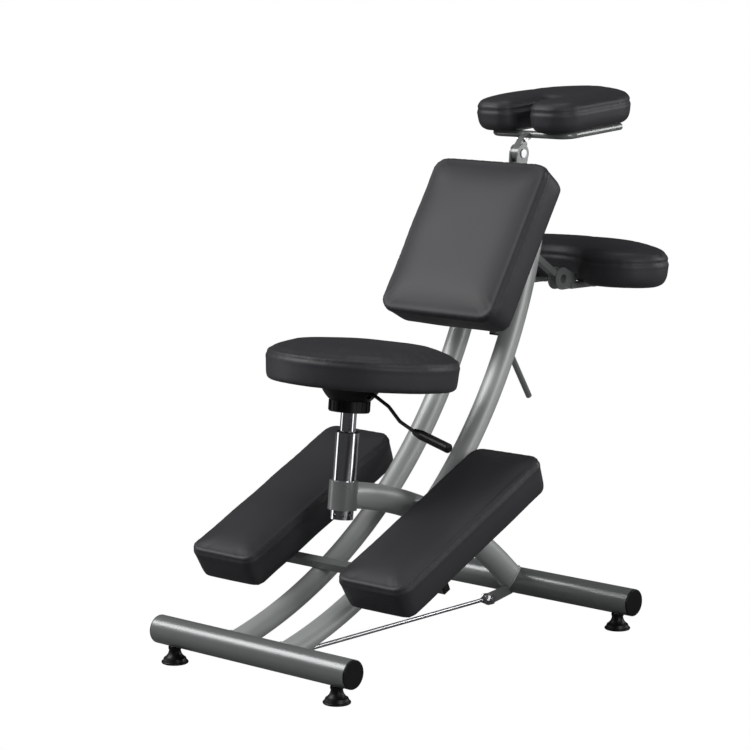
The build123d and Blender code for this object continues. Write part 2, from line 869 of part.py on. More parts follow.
# Headrest post, sleeve and clamp

post = tilted(hinge_y, hinge_z, post_lean)
sleeve_depth = post_depth + 2 * moving_gap + 2 * sleeve_wall
sleeve_width = post_width + 2 * moving_gap + 2 * sleeve_wall


def square_bar(width, depth, low, high):
    return block((-width / 2, width / 2), (-depth / 2, depth / 2), (low, high))


def headrest_post():
    tube = square_bar(post_width, post_depth, -post_bottom, -post_top)
    tube -= square_bar(post_width - 2 * post_wall, post_depth - 2 * post_wall, -post_bottom, -post_top)
    return put(post, tube)


def post_plug_piece():
    face = square_bar(post_width, post_depth, -post_bottom - post_plug_face, -post_bottom)
    face = chamfer(face.faces().sort_by(Axis.Z)[0].edges(), post_plug_face * chamfer_share)
    inner_width = post_width - 2 * post_wall - 2 * plug_gap
    inner_depth = post_depth - 2 * post_wall - 2 * plug_gap
    return put(post, face + square_bar(inner_width, inner_depth, -post_bottom, post_plug - post_bottom))


def headrest_sleeve():
    """The guide tube of the post, with the threaded boss of the clamp on its left side."""
    tube = square_bar(sleeve_width, sleeve_depth, -sleeve_bottom, -sleeve_top)
    reach = sleeve_width / 2 + clamp_nut_height
    tube += cross(clamp_nut_radius, -reach, 0, 0, -clamp_down)
    tube -= square_bar(post_width + 2 * moving_gap, post_depth + 2 * moving_gap, -sleeve_bottom, -sleeve_top)
    return put(post, tube - cross(bolt_radius + running_gap, -reach, 0, 0, -clamp_down))


def sleeve_stays():
    """Four short blocks that join the sleeve's sides to the rails."""
    stays = []
    for side in (1, -1):
        for down in (stay_upper, stay_lower):
            x = sorted((side * sleeve_width / 2, side * stay_reach))
            stay = block(x, (-stay_forward, sleeve_depth / 2), (-down - stay_height / 2, stay_height / 2 - down))
            stay = put(post, stay) - rail_outside(side)
            stays.append(max(stay.solids(), key=lambda solid: solid.volume))
    return stays


def clamp_lever():
    """A screw that presses on the post's side, its collar and a long round handle."""
    start = post_width / 2 + moving_gap
    inner = sleeve_width / 2 + clamp_nut_height + moving_gap
    lever = cross(bolt_radius, -inner, -start, 0, -clamp_down)
    collar = cross(clamp_collar_radius, -inner - clamp_collar, -inner, 0, -clamp_down)
    lever += fillet(collar.edges().filter_by(GeomType.CIRCLE), clamp_rod_round)
    length = sqrt(clamp_rod_out ** 2 + clamp_rod_drop ** 2)
    handle = upright(clamp_rod_radius, 0, length)
    handle = fillet(handle.faces().sort_by(Axis.Z)[-1].edges(), clamp_rod_round)
    turn = 180 - degrees(atan2(clamp_rod_out, clamp_rod_drop))
    lever += Pos(-inner - clamp_collar / 2, 0, -clamp_down) * (Rot(-turn, 0, 0) * handle)
    return put(post, lever)


# Headrest hinge, frame and pad

head_x = post_width / 2
knuckle_x = head_x - moving_gap


def head_hinge_plates():
    outline = link((0, 0, head_plate_radius), (0, -head_plate_foot, head_plate_foot_radius))
    plates = []
    for left in (head_x, -head_x - hinge_sheet):
        plate = side_sheet(outline, left, left + hinge_sheet)
        plate -= cross(rivet_radius, -sleeve_depth, sleeve_depth)
        plates.append(put(post, plate))
    return plates


def head_rivet():
    side = head_x + hinge_sheet
    rivet = cross(rivet_radius, -side, side)
    for left, right in ((side, side + rivet_head), (-side - rivet_head, -side)):
        rivet += cross(rivet_head_radius, left, right)
    return put(post, rivet)


def head_knuckle():
    """The inner hinge disc with the neck that rises to the headrest frame."""
    neck = (neck_out, neck_up, neck_radius)
    plate = side_sheet(link((0, 0, head_knuckle_radius), neck), -knuckle_x, knuckle_x)
    foot_end = (head_frame_back, head_frame_up, neck_foot_radius)
    plate += side_sheet(link(neck, foot_end), -knuckle_x, knuckle_x)
    plate -= cross(rivet_radius + running_gap, -sleeve_depth, sleeve_depth)
    plate -= cross(bolt_radius / 2, -sleeve_depth, sleeve_depth, neck_out, neck_up)
    tube_y, tube_z = along(post, head_frame_back, head_frame_up)
    return put(post, plate) - cross(head_tube_radius, -head_frame_half, head_frame_half, tube_y, tube_z)


def neck_screw():
    """The screw with a round head on each side of the neck."""
    pin = cross(bolt_radius / 2, -knuckle_x, knuckle_x, neck_out, neck_up)
    for left, right in ((knuckle_x, head_x + hinge_sheet), (-head_x - hinge_sheet, -knuckle_x)):
        pin += cross(bolt_radius, left, right, neck_out, neck_up)
    return put(post, pin)


head = tilted(*along(post, head_frame_back, head_frame_up), -head_frame_rise)


def head_frame():
    """A U of round tube, open to the back."""
    corners = [(-head_frame_half, head_frame_reach), (-head_frame_half, 0),
               (head_frame_half, 0), (head_frame_half, head_frame_reach)]
    route = FilletPolyline(*[(x, y, 0) for x, y in corners], radius=head_frame_bend)
    start = Plane(origin=route @ 0, z_dir=route % 0)
    tube = sweep(start * Circle(head_tube_radius), route)
    tube -= sweep(start * Circle(head_tube_radius - head_tube_wall), route)
    for x, y in head_screw_places():
        tube -= Pos(x, y, 0) * upright(screw_radius + screw_gap, 0, head_tube_radius)
        tube -= Pos(x, y, 0) * upright(head_screw_radius + screw_gap, -head_tube_radius, 0)
    return put(head, tube)


def head_screw_places():
    return [(side * head_frame_half, share * head_frame_reach) for side in (1, -1) for share in head_screw_shares]


def head_screws():
    """Screws whose heads lie inside the tube, put in through holes in its lower wall."""
    seat = sqrt((head_tube_radius - head_tube_wall) ** 2 - head_screw_radius ** 2)
    screws = []
    for x, y in head_screw_places():
        shank = upright(screw_radius, seat, head_tube_radius + screw_length)
        top = upright(head_screw_radius, seat - screw_head, seat)
        screws.append(put(head, Pos(x, y, 0) * (shank + top)))
    return screws


# Armrest

arm_hinge = tilted(arm_hinge_y, arm_hinge_z, arm_tilt)
arm_pad_low = arm_strip - arm_plate_radius


def armrest_arm(side):
    """A bar from the rail's back down to a hinge disc."""
    start_y, start_z = rail_point(rail_angle_at(arm_rail_height))
    bar = link((start_y, start_z, arm_bar_radius), (arm_hinge_y, arm_hinge_z, arm_bar_radius))
    left, right = side * rail_side - knuckle_x, side * rail_side + knuckle_x
    piece = side_sheet(bar, left, right) + cross(arm_knuckle_radius, left, right, arm_hinge_y, arm_hinge_z)
    piece -= rail_outside(side)
    piece -= cross(rivet_radius + running_gap, -half_front_bar, half_front_bar, arm_hinge_y, arm_hinge_z)
    return max(piece.solids(), key=lambda solid: solid.volume)


def armrest_rivet(side):
    centre = side * rail_side
    reach = head_x + hinge_sheet
    rivet = cross(rivet_radius, centre - reach, centre + reach)
    rivet += cross(rivet_head_radius, centre + reach, centre + reach + rivet_head)
    rivet += cross(rivet_head_radius, centre - reach - rivet_head, centre - reach)
    return put(arm_hinge, rivet)


def armrest_bracket(side):
    """Two hinge plates welded to the strip that carries the board."""
    centre = side * rail_side
    foot_z = arm_pad_low - arm_plate_foot_radius
    outline = link((0, 0, arm_plate_radius), (arm_plate_foot, foot_z, arm_plate_foot_radius))
    strip = block((centre - arm_strip_width / 2, centre + arm_strip_width / 2),
                  (arm_strip_start, arm_strip_length), (arm_pad_low - arm_strip, arm_pad_low))
    bracket = strip
    for left in (centre + head_x, centre - head_x - hinge_sheet):
        bracket += side_sheet(outline, left, left + hinge_sheet)
    high = block((centre - arm_strip_width, centre + arm_strip_width), (arm_plate_clear, arm_strip_length),
                 (arm_pad_low, arm_plate_radius))
    bracket -= high
    bracket -= cross(rivet_radius, centre - arm_strip_width, centre + arm_strip_width)
    for x, y in armrest_screw_places(side):
        bracket -= Pos(x, y, 0) * upright(screw_radius + screw_gap, arm_pad_low - arm_strip, arm_pad_low)
    return put(arm_hinge, bracket)


def armrest_screw_places(side):
    return [(side * rail_side, arm_strip_length - arm_strip_width * step) for step in (1 / 2, 3 / 2)]


def armrest_screws():
    screws = []
    for side in (1, -1):
        for x, y in armrest_screw_places(side):
            screws.append(put(arm_hinge, wood_screw(x, y, arm_pad_low - arm_strip)))
    return screws


# Chest pad brackets

chest = tilted(chest_y, chest_z, chest_lean - quarter_turn)


def chest_screw_places():
    places = []
    for middle, half in (((chest_top_low + chest_top_high) / 2, chest_top_half - chest_screw_inset),
                         ((chest_low_start + chest_low_end) / 2, chest_low_half - chest_screw_inset)):
        places += [(half, middle), (-half, middle)]
    return places


def chest_plate(half, low, high):
    plate = block((-half, half), (low, high), (-sheet, 0))
    for x, y in chest_screw_places():
        plate -= Pos(x, y, 0) * upright(screw_radius + screw_gap, -sheet, 0)
    return put(chest, plate)


def chest_top_bracket():
    """A plate on the pad's back with two cheeks welded inside the rails."""
    bracket = chest_plate(chest_top_half, chest_top_low, chest_top_high)
    points = [along(chest, chest_top_low, -sheet), along(chest, chest_top_high, -sheet),
              rail_point(chest_top_rail_high, weld_reach), rail_point(chest_top_rail_low, weld_reach)]
    inner = rail_side - rail_width / 2
    for left in (inner - cheek, -inner):
        bracket += side_sheet(Polygon(*points, align=None), left, left + cheek)
    return bracket


def chest_low_bracket():
    """A plate on the pad's back carried by two long cheeks on the sleeve."""
    bracket = chest_plate(chest_low_half, chest_low_start, chest_low_end)
    points = [along(chest, chest_low_start, -sheet), along(chest, chest_low_end, -sheet),
              along(post, 0, -chest_low_sleeve_high), along(post, 0, -chest_low_sleeve_low)]
    inner = sleeve_width / 2
    for left in (inner, -inner - cheek):
        bracket += side_sheet(Polygon(*points, align=None), left, left + cheek)
    return bracket


def chest_screws():
    return [put(chest, wood_screw(x, y, -sheet)) for x, y in chest_screw_places()]


# Knee rests

knee_y, knee_z = rail_point(knee_bar_angle, -(rail_depth + knee_bar_size) / 2 - knee_bar_seat)
knee = tilted(knee_y, knee_z, -knee_slope)


def knee_crossbar():
    half, core = knee_bar_size / 2, knee_bar_size / 2 - knee_bar_wall
    tube = block((-knee_bar_half, knee_bar_half), (-half, half), (-half, half))
    return put(knee, tube - block((-knee_bar_half, knee_bar_half), (-core, core), (-core, core)))


def knee_bar_cap():
    half, core = knee_bar_size / 2, knee_bar_size / 2 - knee_bar_wall - plug_gap
    face = block((knee_bar_half, knee_bar_half + knee_cap_face), (-half, half), (-half, half))
    face = chamfer(face.faces().sort_by(Axis.X)[-1].edges(), knee_cap_face * chamfer_share)
    return put(knee, face + block((knee_bar_half - knee_cap_plug, knee_bar_half), (-core, core), (-core, core)))


knee_pad_low = knee_bar_size / 2
knee_plate_high = knee_pad_low + sheet


def knee_screw_places():
    half = knee_plate_width / 2 - knee_screw_inset
    low = knee_plate_centre - knee_plate_length / 2 + knee_screw_inset
    high = knee_plate_centre + knee_plate_length / 2 - knee_screw_inset
    return [(knee_pad_side + x, y) for x in (-half, half) for y in (low, high)]


def knee_plate_blank():
    half_x, half_y = knee_plate_width / 2, knee_plate_length / 2
    return block((knee_pad_side - half_x, knee_pad_side + half_x),
                 (knee_plate_centre - half_y, knee_plate_centre + half_y), (knee_pad_low, knee_plate_high))


def knee_plate():
    """A steel plate welded on the crossbar and let into the board above it."""
    plate = knee_plate_blank()
    for x, y in knee_screw_places():
        plate -= Pos(x, y, 0) * upright(screw_radius + screw_gap, knee_pad_low, knee_plate_high)
    return put(knee, plate)


def knee_screws():
    return [put(knee, wood_screw(x, y, knee_pad_low)) for x, y in knee_screw_places()]


def drilled(board, places, low):
    for hole in screw_holes(places, screw_radius, low, low + screw_length):
        board -= hole
    return board


def knee_rest():
    pad, board = pad_and_board(oblong_outline(knee_pad_width, knee_pad_length, knee_pad_corner),
                               knee_pad_height, knee_board_height)
    shift = Pos(knee_pad_side, knee_pad_centre, knee_pad_low)
    board = drilled(shift * board - knee_plate_blank(), knee_screw_places(), knee_plate_high)
    return put(knee, shift * pad), put(knee, board)


def chest_rest():
    pad, board = pad_and_board(oblong_outline(chest_width, chest_length, chest_corner),
                               chest_height, chest_board_height)
    return put(chest, pad), put(chest, drilled(board, chest_screw_places(), 0))


def head_rest():
    pad, board = pad_and_board(horseshoe_outline, head_pad_height, head_board_height, round_profile)
    shift = Pos(0, 0, head_tube_radius)
    board = drilled(shift * board, head_screw_places(), head_tube_radius)
    return put(head, shift * pad), put(head, board)


def arm_rest():
    pad, board = pad_and_board(crescent_outline, arm_pad_height, arm_board_height, round_profile)
    shift = Pos(0, 0, arm_pad_low)
    places = armrest_screw_places(1) + armrest_screw_places(-1)
    board = drilled(shift * board, places, arm_pad_low)
    return put(arm_hinge, shift * pad), put(arm_hinge, board)


# Every node with the solids that it holds

def build_nodes():
    knee_pad, knee_board = knee_rest()
    chest_pad, chest_board = chest_rest()
    head_pad, head_board = head_rest()
    arm_pad, arm_board = arm_rest()
    screws = both_sides(Compound(children=knee_screws())) + chest_screws()
    nodes = {
        "front_crossbar": [floor_bar(half_front_bar, 0)],
        "rear_crossbar": [floor_bar(half_rear_bar, wheelbase)],
        "bar_end_caps": both_sides(bar_cap(half_front_bar, 0)) + both_sides(bar_cap(half_rear_bar, wheelbase)),
        "foot_inserts": [foot_insert(x, y) for x, y in foot_places().values()],
        "right_rail": [rail(1)],
        "left_rail": [rail(-1)],
        "seat_arm": [seat_arm()],
        "seat_socket": [seat_socket()],
        "frame_bolt": [frame_bolt()],
        "frame_spacers": [frame_spacer(1), frame_spacer(-1)],
        "tie_rod": [tie_rod()],
        "tie_lugs": [tie_lug(tie_front, 0, 1), tie_lug(tie_rear, wheelbase, -1)],
        "tie_bolts": [tie_bolt(tie_front), tie_bolt(tie_rear)],
        "bolt_nuts": [frame_nut(), tie_nut(tie_front), tie_nut(tie_rear)],
        "knee_crossbar": [knee_crossbar()],
        "tube_caps": both_sides(knee_bar_cap()) + [rail_cap(1), rail_cap(-1)],
        "knee_plates": both_sides(knee_plate()),
        "knee_boards": both_sides(knee_board),
        "right_knee_pad": [knee_pad],
        "left_knee_pad": [mirrored(knee_pad)],
        "pad_screws": screws,
        "column_tube": [column_tube()],
        "column_ring": [column_ring()],
        "column_bushes": column_bushes(),
        "seat_rod": [seat_rod()],
        "valve_pin": [valve_pin()],
        "seat_mechanism": [seat_mechanism()],
        "seat_hub_cover": [hub_cover()],
        "seat_board": [seat_board()],
        "seat_cushion": [seat_cushion()],
        "seat_screws": seat_screws(),
        "lever_pin": [lever_pin()],
        "lift_lever": [lift_lever()],
        "lever_grip": [lever_grip()],
        "headrest_sleeve": [headrest_sleeve()],
        "sleeve_stays": sleeve_stays(),
        "clamp_lever": [clamp_lever()],
        "headrest_post": [headrest_post()],
        "post_plug": [post_plug_piece()],
        "headrest_hinge_plates": head_hinge_plates(),
        "headrest_rivet": [head_rivet()],
        "headrest_knuckle": [head_knuckle()],
        "headrest_screws": head_screws() + [neck_screw()],
        "headrest_frame": [head_frame()],
        "headrest_board": [head_board],
        "headrest_pad": [head_pad],
        "armrest_arms": [armrest_arm(1), armrest_arm(-1)],
        "armrest_rivets": [armrest_rivet(1), armrest_rivet(-1)],
        "armrest_brackets": [armrest_bracket(1), armrest_bracket(-1)],
        "armrest_board": [arm_board],
        "armrest_pad": [arm_pad],
        "armrest_screws": armrest_screws(),
        "chest_top_bracket": [chest_top_bracket()],
        "chest_low_bracket": [chest_low_bracket()],
        "chest_board": [chest_board],
        "chest_pad": [chest_pad],
    }
    for name, (x, y) in foot_places().items():
        nodes[name] = [foot(x, y)]
    return nodes


def place_and_write(nodes):
    """Moves the chair so that its origin lies under the middle of its box, and writes each node."""
    os.makedirs("parts", exist_ok=True)
    solids = {name: [solid for shape in shapes for solid in shape.solids()] for name, shapes in nodes.items()}
    boxes = [solid.bounding_box() for group in solids.values() for solid in group]
    shift = -(min(box.min.Y for box in boxes) + max(box.max.Y for box in boxes)) / 2
    print("shift of the front bar along Y:", round(shift, 3))
    for name, group in solids.items():
        moved = [Pos(0, shift, 0) * solid for solid in group]
        shape = moved[0] if len(moved) == 1 else Compound(children=moved)
        export_step(shape, "parts/" + name + ".step")


place_and_write(build_nodes())
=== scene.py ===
import json
from math import atan2, cos, degrees, radians, sin, sqrt, tau

import bpy
import numpy as np
from mathutils import Matrix


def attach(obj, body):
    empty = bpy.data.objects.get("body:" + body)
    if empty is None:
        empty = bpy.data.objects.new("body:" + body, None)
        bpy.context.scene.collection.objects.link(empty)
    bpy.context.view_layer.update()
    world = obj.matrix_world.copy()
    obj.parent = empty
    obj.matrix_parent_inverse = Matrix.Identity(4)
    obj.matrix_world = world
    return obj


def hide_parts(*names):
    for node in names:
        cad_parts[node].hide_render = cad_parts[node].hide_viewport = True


bl_info = {
    "name": "Tattoo chair",
    "version": (1, 0, 0),
    "blender": (4, 5, 0),
    "location": "View3D > Sidebar > Chair",
    "description": "Builds the looks of a kneeling tattoo chair on its CAD frame",
    "category": "Object",
}

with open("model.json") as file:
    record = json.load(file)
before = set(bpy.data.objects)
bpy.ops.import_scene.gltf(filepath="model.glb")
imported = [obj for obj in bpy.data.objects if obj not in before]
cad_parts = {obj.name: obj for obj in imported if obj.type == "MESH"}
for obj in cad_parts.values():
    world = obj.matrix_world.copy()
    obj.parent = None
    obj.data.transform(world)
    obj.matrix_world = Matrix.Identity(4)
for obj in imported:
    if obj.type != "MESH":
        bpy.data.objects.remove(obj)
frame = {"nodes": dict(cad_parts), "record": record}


def length(name, value, description):
    """A length in metres for the panel."""
    return bpy.props.FloatProperty(name=name, description=description, default=value,
                                   unit="LENGTH", precision=4)


def colour(name, value, description):
    """A colour for the panel."""
    return bpy.props.FloatVectorProperty(name=name, description=description, default=value, size=3,
                                         min=0, max=1, subtype="COLOR")


class ChairSizes(bpy.types.PropertyGroup):
    """Sizes of the chair's visible surfaces, as on its CAD frame."""
    knee_width: length("Knee pad width", 0.157, "Width of a knee pad at its seam")
    knee_length: length("Knee pad length", 0.423, "Length of a knee pad at its seam")
    knee_height: length("Knee pad height", 0.067, "Height of a knee pad above its crossbar")
    chest_width: length("Chest pad width", 0.269, "Width of the chest pad at its seam")
    chest_length: length("Chest pad length", 0.321, "Length of the chest pad at its seam")
    chest_height: length("Chest pad thickness", 0.070, "Thickness of the chest pad")
    seat_radius: length("Seat radius", 0.172, "Radius of the seat at its seam")
    seat_height: length("Seat thickness", 0.075, "Thickness of the seat cushion")
    head_height: length("Headrest thickness", 0.060, "Thickness of the headrest pad")
    arm_height: length("Armrest thickness", 0.070, "Thickness of the armrest pad")
    voxel: length("Cloth grid", 0.005, "Edge length of the mesh that the cushions are blown up with")
    seam_depth: length("Seam depth", 0.0015, "How far a seam draws the cover in")
    pucker: length("Pucker height", 0.0002, "Height of the small folds along a seam")
    bar_radius: length("Floor bar radius", 0.0254, "Radius of the floor bars")
    rail_radius: length("Rail bend radius", 0.8886, "Radius of the curved rails' centre line")
    rail_side: length("Rail offset", 0.0589, "Distance of each rail from the middle")
    arm_radius: length("Seat arm bend radius", 0.880, "Radius of the seat arm's centre line")
    weld: length("Weld bead radius", 0.0021, "Radius of a weld bead")
    stitch: length("Stitch pitch", 0.0056, "Distance from stitch to stitch")


class ChairColours(bpy.types.PropertyGroup):
    """Base colours of the finishes."""
    paint: colour("Frame paint", (0.205, 0.216, 0.213), "Satin silver-grey coat of the frame")
    leather: colour("Leather", (0.0016, 0.0015, 0.0028), "Darkest tone of the covers")
    leather_light: colour("Leather light", (0.0034, 0.0031, 0.0056), "Lightest tone of the covers")
    thread: colour("Thread", (0.05, 0.047, 0.058), "Stitches of the covers")
    plastic: colour("Plastic", (0.003, 0.003, 0.0036), "Caps, feet, hub and grip")
    zinc: colour("Zinc", (0.55, 0.55, 0.57), "Bolts and tie rod")
    chrome: colour("Chrome", (0.80, 0.80, 0.83), "Gas column")
    dark: colour("Dark paint", (0.022, 0.022, 0.024), "Levers and seat mechanism")
    cloth: colour("Lining cloth", (0.012, 0.012, 0.013), "Cloth over the boards under the cushions")


# Shader sums

class Wire:
    """A shader value, with sums written as ordinary sums."""

    def __init__(self, shader, socket):
        self.shader = shader
        self.socket = socket

    def sum(self, operation, first, second):
        return self.shader.node("ShaderNodeMath", {0: first, 1: second}, operation=operation)

    def __add__(self, other):
        return self.sum("ADD", self, other)

    def __radd__(self, other):
        return self.sum("ADD", other, self)

    def __sub__(self, other):
        return self.sum("SUBTRACT", self, other)

    def __rsub__(self, other):
        return self.sum("SUBTRACT", other, self)

    def __mul__(self, other):
        return self.sum("MULTIPLY", self, other)

    def __rmul__(self, other):
        return self.sum("MULTIPLY", other, self)

    def __truediv__(self, other):
        return self.sum("DIVIDE", self, other)

    def __rtruediv__(self, other):
        return self.sum("DIVIDE", other, self)


class Shader:
    """The nodes of a material or of the world, made one by one."""

    def __init__(self, owner):
        owner.use_nodes = True
        self.owner = owner
        self.tree = owner.node_tree
        self.tree.nodes.clear()
        self.known_place = None

    def node(self, kind, inputs=None, output=0, **settings):
        """Makes a node, wires or sets its inputs, and gives one of its outputs if it has any."""
        made = self.tree.nodes.new(kind)
        for key, value in settings.items():
            setattr(made, key, value)
        for key, value in (inputs or {}).items():
            if isinstance(value, Wire):
                self.tree.links.new(value.socket, made.inputs[key])
            else:
                made.inputs[key].default_value = value
        return Wire(self, made.outputs[output]) if made.outputs else None

    def place(self):
        """The object's own coordinates, from one node however often they are asked for."""
        if self.known_place is None:
            self.known_place = self.node("ShaderNodeTexCoord", output="Object")
        return self.known_place

    def noise(self, scale, detail=2.0):
        inputs = {"Vector": self.place(), "Scale": scale, "Detail": detail}
        return self.node("ShaderNodeTexNoise", inputs, "Fac")

    def cells(self, scale):
        """Distance to the nearest of many scattered points."""
        return self.node("ShaderNodeTexVoronoi", {"Vector": self.place(), "Scale": scale}, "Distance")

    def ribs(self, scale, direction):
        """Slightly uneven parallel waves."""
        inputs = {"Vector": self.place(), "Scale": scale, "Distortion": 0.4, "Detail": 1.0}
        return self.node("ShaderNodeTexWave", inputs, "Fac", wave_type="BANDS", bands_direction=direction)

    def blend(self, share, low, high):
        inputs = {0: share, 6: (*low, 1.0), 7: (*high, 1.0)}
        return self.node("ShaderNodeMix", inputs, 2, data_type="RGBA")

    def bump(self, height, strength, distance):
        inputs = {"Height": height, "Strength": strength, "Distance": distance}
        return self.node("ShaderNodeBump", inputs)

    def finish(self, surface, kind="ShaderNodeOutputMaterial"):
        """Ends the tree with its output node and gives the material or world."""
        self.node(kind, {"Surface": surface})
        return self.owner

    def principled(self, inputs):
        return self.finish(self.node("ShaderNodeBsdfPrincipled", inputs))


def new_shader(name):
    return Shader(bpy.data.materials.new(name))


def scaled(base, factor):
    """A colour made darker or lighter, at most white."""
    return tuple(min(1.0, part * factor) for part in base)


def paint_material(name, base, metallic, rough):
    """Sprayed coat with a faint orange peel and soft clouds."""
    shader = new_shader(name)
    peel, cloud = shader.noise(700.0), shader.noise(14.0, 4.0)
    return shader.principled({
        "Base Color": shader.blend(cloud, scaled(base, 0.93), scaled(base, 1.08)),
        "Metallic": metallic,
        "Roughness": cloud * 0.08 + (rough - 0.04),
        "Coat Weight": 0.2,
        "Coat Roughness": 0.22,
        "Normal": shader.bump(peel, 0.12, 0.0002),
    })


def metal_material(name, base, rough, spread):
    """Bare or plated metal, its roughness spread by clouds and a fine grain."""
    shader = new_shader(name)
    cloud, fine = shader.noise(22.0, 5.0), shader.noise(900.0)
    return shader.principled({
        "Base Color": shader.blend(cloud, scaled(base, 0.94), scaled(base, 1.03)),
        "Metallic": 1.0,
        "Roughness": cloud * spread + fine * spread * 0.5 + rough,
        "Normal": shader.bump(fine, 0.03, 0.00005),
    })


def plastic_material(name, base, rough):
    """Moulded plastic with a fine etched grain."""
    shader = new_shader(name)
    grain, cloud = shader.cells(1500.0), shader.noise(18.0, 3.0)
    return shader.principled({
        "Base Color": shader.blend(cloud, scaled(base, 0.85), scaled(base, 1.3)),
        "Roughness": cloud * 0.12 + rough,
        "Specular IOR Level": 0.3,
        "Normal": shader.bump(grain, 0.12, 0.00015),
    })


def leather_material(name, low, high):
    """Fine pebbled grain over soft, slightly worn patches."""
    shader = new_shader(name)
    pebbles, folds, cloud = shader.cells(850.0), shader.noise(180.0, 4.0), shader.noise(11.0, 4.0)
    return shader.principled({
        "Base Color": shader.blend(cloud, low, high),
        "Roughness": cloud * 0.08 + pebbles * 0.04 + 0.25,
        "Specular IOR Level": 0.22,
        "Specular Tint": (0.80, 0.77, 1.0, 1.0),
        "Normal": shader.bump(pebbles * 0.7 + folds * 0.6, 0.10, 0.0003),
    })


def cloth_material(name, base):
    """Plain woven lining: two crossed sets of fine ribs."""
    shader = new_shader(name)
    weft, warp, cloud = shader.ribs(420.0, "X"), shader.ribs(420.0, "Y"), shader.noise(30.0, 3.0)
    weave = weft * warp * 0.6 + cloud * 0.4
    return shader.principled({
        "Base Color": shader.blend(weave, scaled(base, 0.6), scaled(base, 1.5)),
        "Roughness": cloud * 0.1 + 0.82,
        "Specular IOR Level": 0.25,
        "Normal": shader.bump(weft + warp, 0.3, 0.0003),
    })


def finishes(colours):
    """The material of each slot that the record names, and the thread's."""
    return {
        "frame_paint": paint_material("frame_paint", colours.paint, 0.25, 0.29),
        "dark_paint": paint_material("dark_paint", colours.dark, 0.3, 0.42),
        "chrome": metal_material("chrome", colours.chrome, 0.05, 0.05),
        "zinc_steel": metal_material("zinc_steel", colours.zinc, 0.24, 0.12),
        "black_plastic": plastic_material("black_plastic", colours.plastic, 0.34),
        "bush_plastic": plastic_material("bush_plastic", colours.plastic, 0.5),
        "black_leather": leather_material("black_leather", colours.leather, colours.leather_light),
        "board_cloth": cloth_material("board_cloth", colours.cloth),
        "thread": plastic_material("thread", colours.thread, 0.55),
    }


# Meshes from whole arrays

def new_piece(name, points, faces, finish_name):
    """An object at the origin from an array of points in metres and a list of faces."""
    mesh = bpy.data.meshes.new(name)
    mesh.from_pydata(np.asarray(points).reshape(-1, 3).tolist(), [], faces)
    mesh.update()
    piece = bpy.data.objects.new(name, mesh)
    bpy.context.scene.collection.objects.link(piece)
    mesh.materials.append(bpy.data.materials[finish_name])
    mesh.shade_smooth()
    return piece


def grid_faces(rows, columns, wrap_rows=False):
    """Four-sided faces of a grid whose columns always close on themselves."""
    row_count = rows if wrap_rows else rows - 1
    row, column = np.meshgrid(np.arange(row_count), np.arange(columns), indexing="ij")
    here, after = row * columns, (row + 1) % rows * columns
    beside = (column + 1) % columns
    corners = (here + column, here + beside, after + beside, after + column)
    return np.stack(corners, -1).reshape(-1, 4).tolist()


def capped(rows, columns):
    """Grid faces with a flat lid on the first and the last row."""
    first = list(range(columns))[::-1]
    last = [(rows - 1) * columns + step for step in range(columns)]
    return grid_faces(rows, columns) + [first, last]


def vertex_values(mesh, key):
    """One vector for each vertex, as an array."""
    values = np.empty(len(mesh.vertices) * 3)
    mesh.vertices.foreach_get(key, values)
    return values.reshape(-1, 3)


def coordinates(mesh):
    return vertex_values(mesh, "co")


def normals(mesh):
    return vertex_values(mesh, "normal")


def store(mesh, points):
    mesh.vertices.foreach_set("co", np.ascontiguousarray(points, dtype=np.float32).ravel())
    mesh.update()


def evaluated(piece):
    """The piece as its modifiers show it."""
    return piece.evaluated_get(bpy.context.evaluated_depsgraph_get())


def baked(piece):
    """Replaces the piece's mesh by its result under its modifiers, then drops them."""
    mesh = bpy.data.meshes.new_from_object(evaluated(piece))
    piece.modifiers.clear()
    old = piece.data
    piece.data = mesh
    mesh.name = piece.name
    bpy.data.meshes.remove(old)
    return mesh


def leaning(points, y, z, tilt):
    """Points of a plane that leans by tilt degrees about X, moved to y and z."""
    turn = radians(-tilt)
    spin = np.array([[1, 0, 0], [0, cos(turn), -sin(turn)], [0, sin(turn), cos(turn)]])
    return points @ spin.T + np.array([0, y, z])


def around(sides):
    """The angles of points spread evenly round a circle."""
    return np.arange(sides) * tau / sides


def unit(rows):
    """Each row scaled to length 1."""
    return rows / np.linalg.norm(rows, axis=1, keepdims=True)


def along_closed(points):
    """The direction of a closed line at each of its points, from its two neighbours."""
    return unit(np.roll(points, -1, 0) - np.roll(points, 1, 0))


# Outlines

# Angles are in degrees, and a whole circle ends one step before its start.

ARC_STEP = 3
LEAST_ARC_POINTS = 6
ROUND_END = 357


def arc(centre, radius, start, end):
    """Points on an arc from start to end degrees; it runs clockwise if end is the smaller."""
    count = max(LEAST_ARC_POINTS, int(abs(end - start) / ARC_STEP))
    angle = np.radians(np.linspace(start, end, count))
    return np.stack([centre[0] + radius * np.cos(angle), centre[1] + radius * np.sin(angle)], -1)


def evenly(points, spacing):
    """A closed line with the same step everywhere, anticlockwise, and its outward normals."""
    closed = np.vstack([points, points[:1]])
    step = np.hypot(*np.diff(closed, axis=0).T)
    way = np.concatenate([[0], np.cumsum(step)])
    count = int(way[-1] / spacing)
    at = np.linspace(0, way[-1], count, endpoint=False)
    line = np.stack([np.interp(at, way, closed[:, axis]) for axis in (0, 1)], -1)
    along = np.roll(line, -2, 0) - np.roll(line, 2, 0)
    along /= np.hypot(*along.T)[:, None]
    return line, np.stack([along[:, 1], -along[:, 0]], -1)


def oblong(width, long, corner):
    """A rectangle with round corners."""
    x, y = width / 2 - corner, long / 2 - corner
    return np.vstack([
        arc((x, y), corner, 0, 90),
        arc((-x, y), corner, 90, 180),
        arc((-x, -y), corner, 180, 270),
        arc((x, -y), corner, 270, 360),
    ])


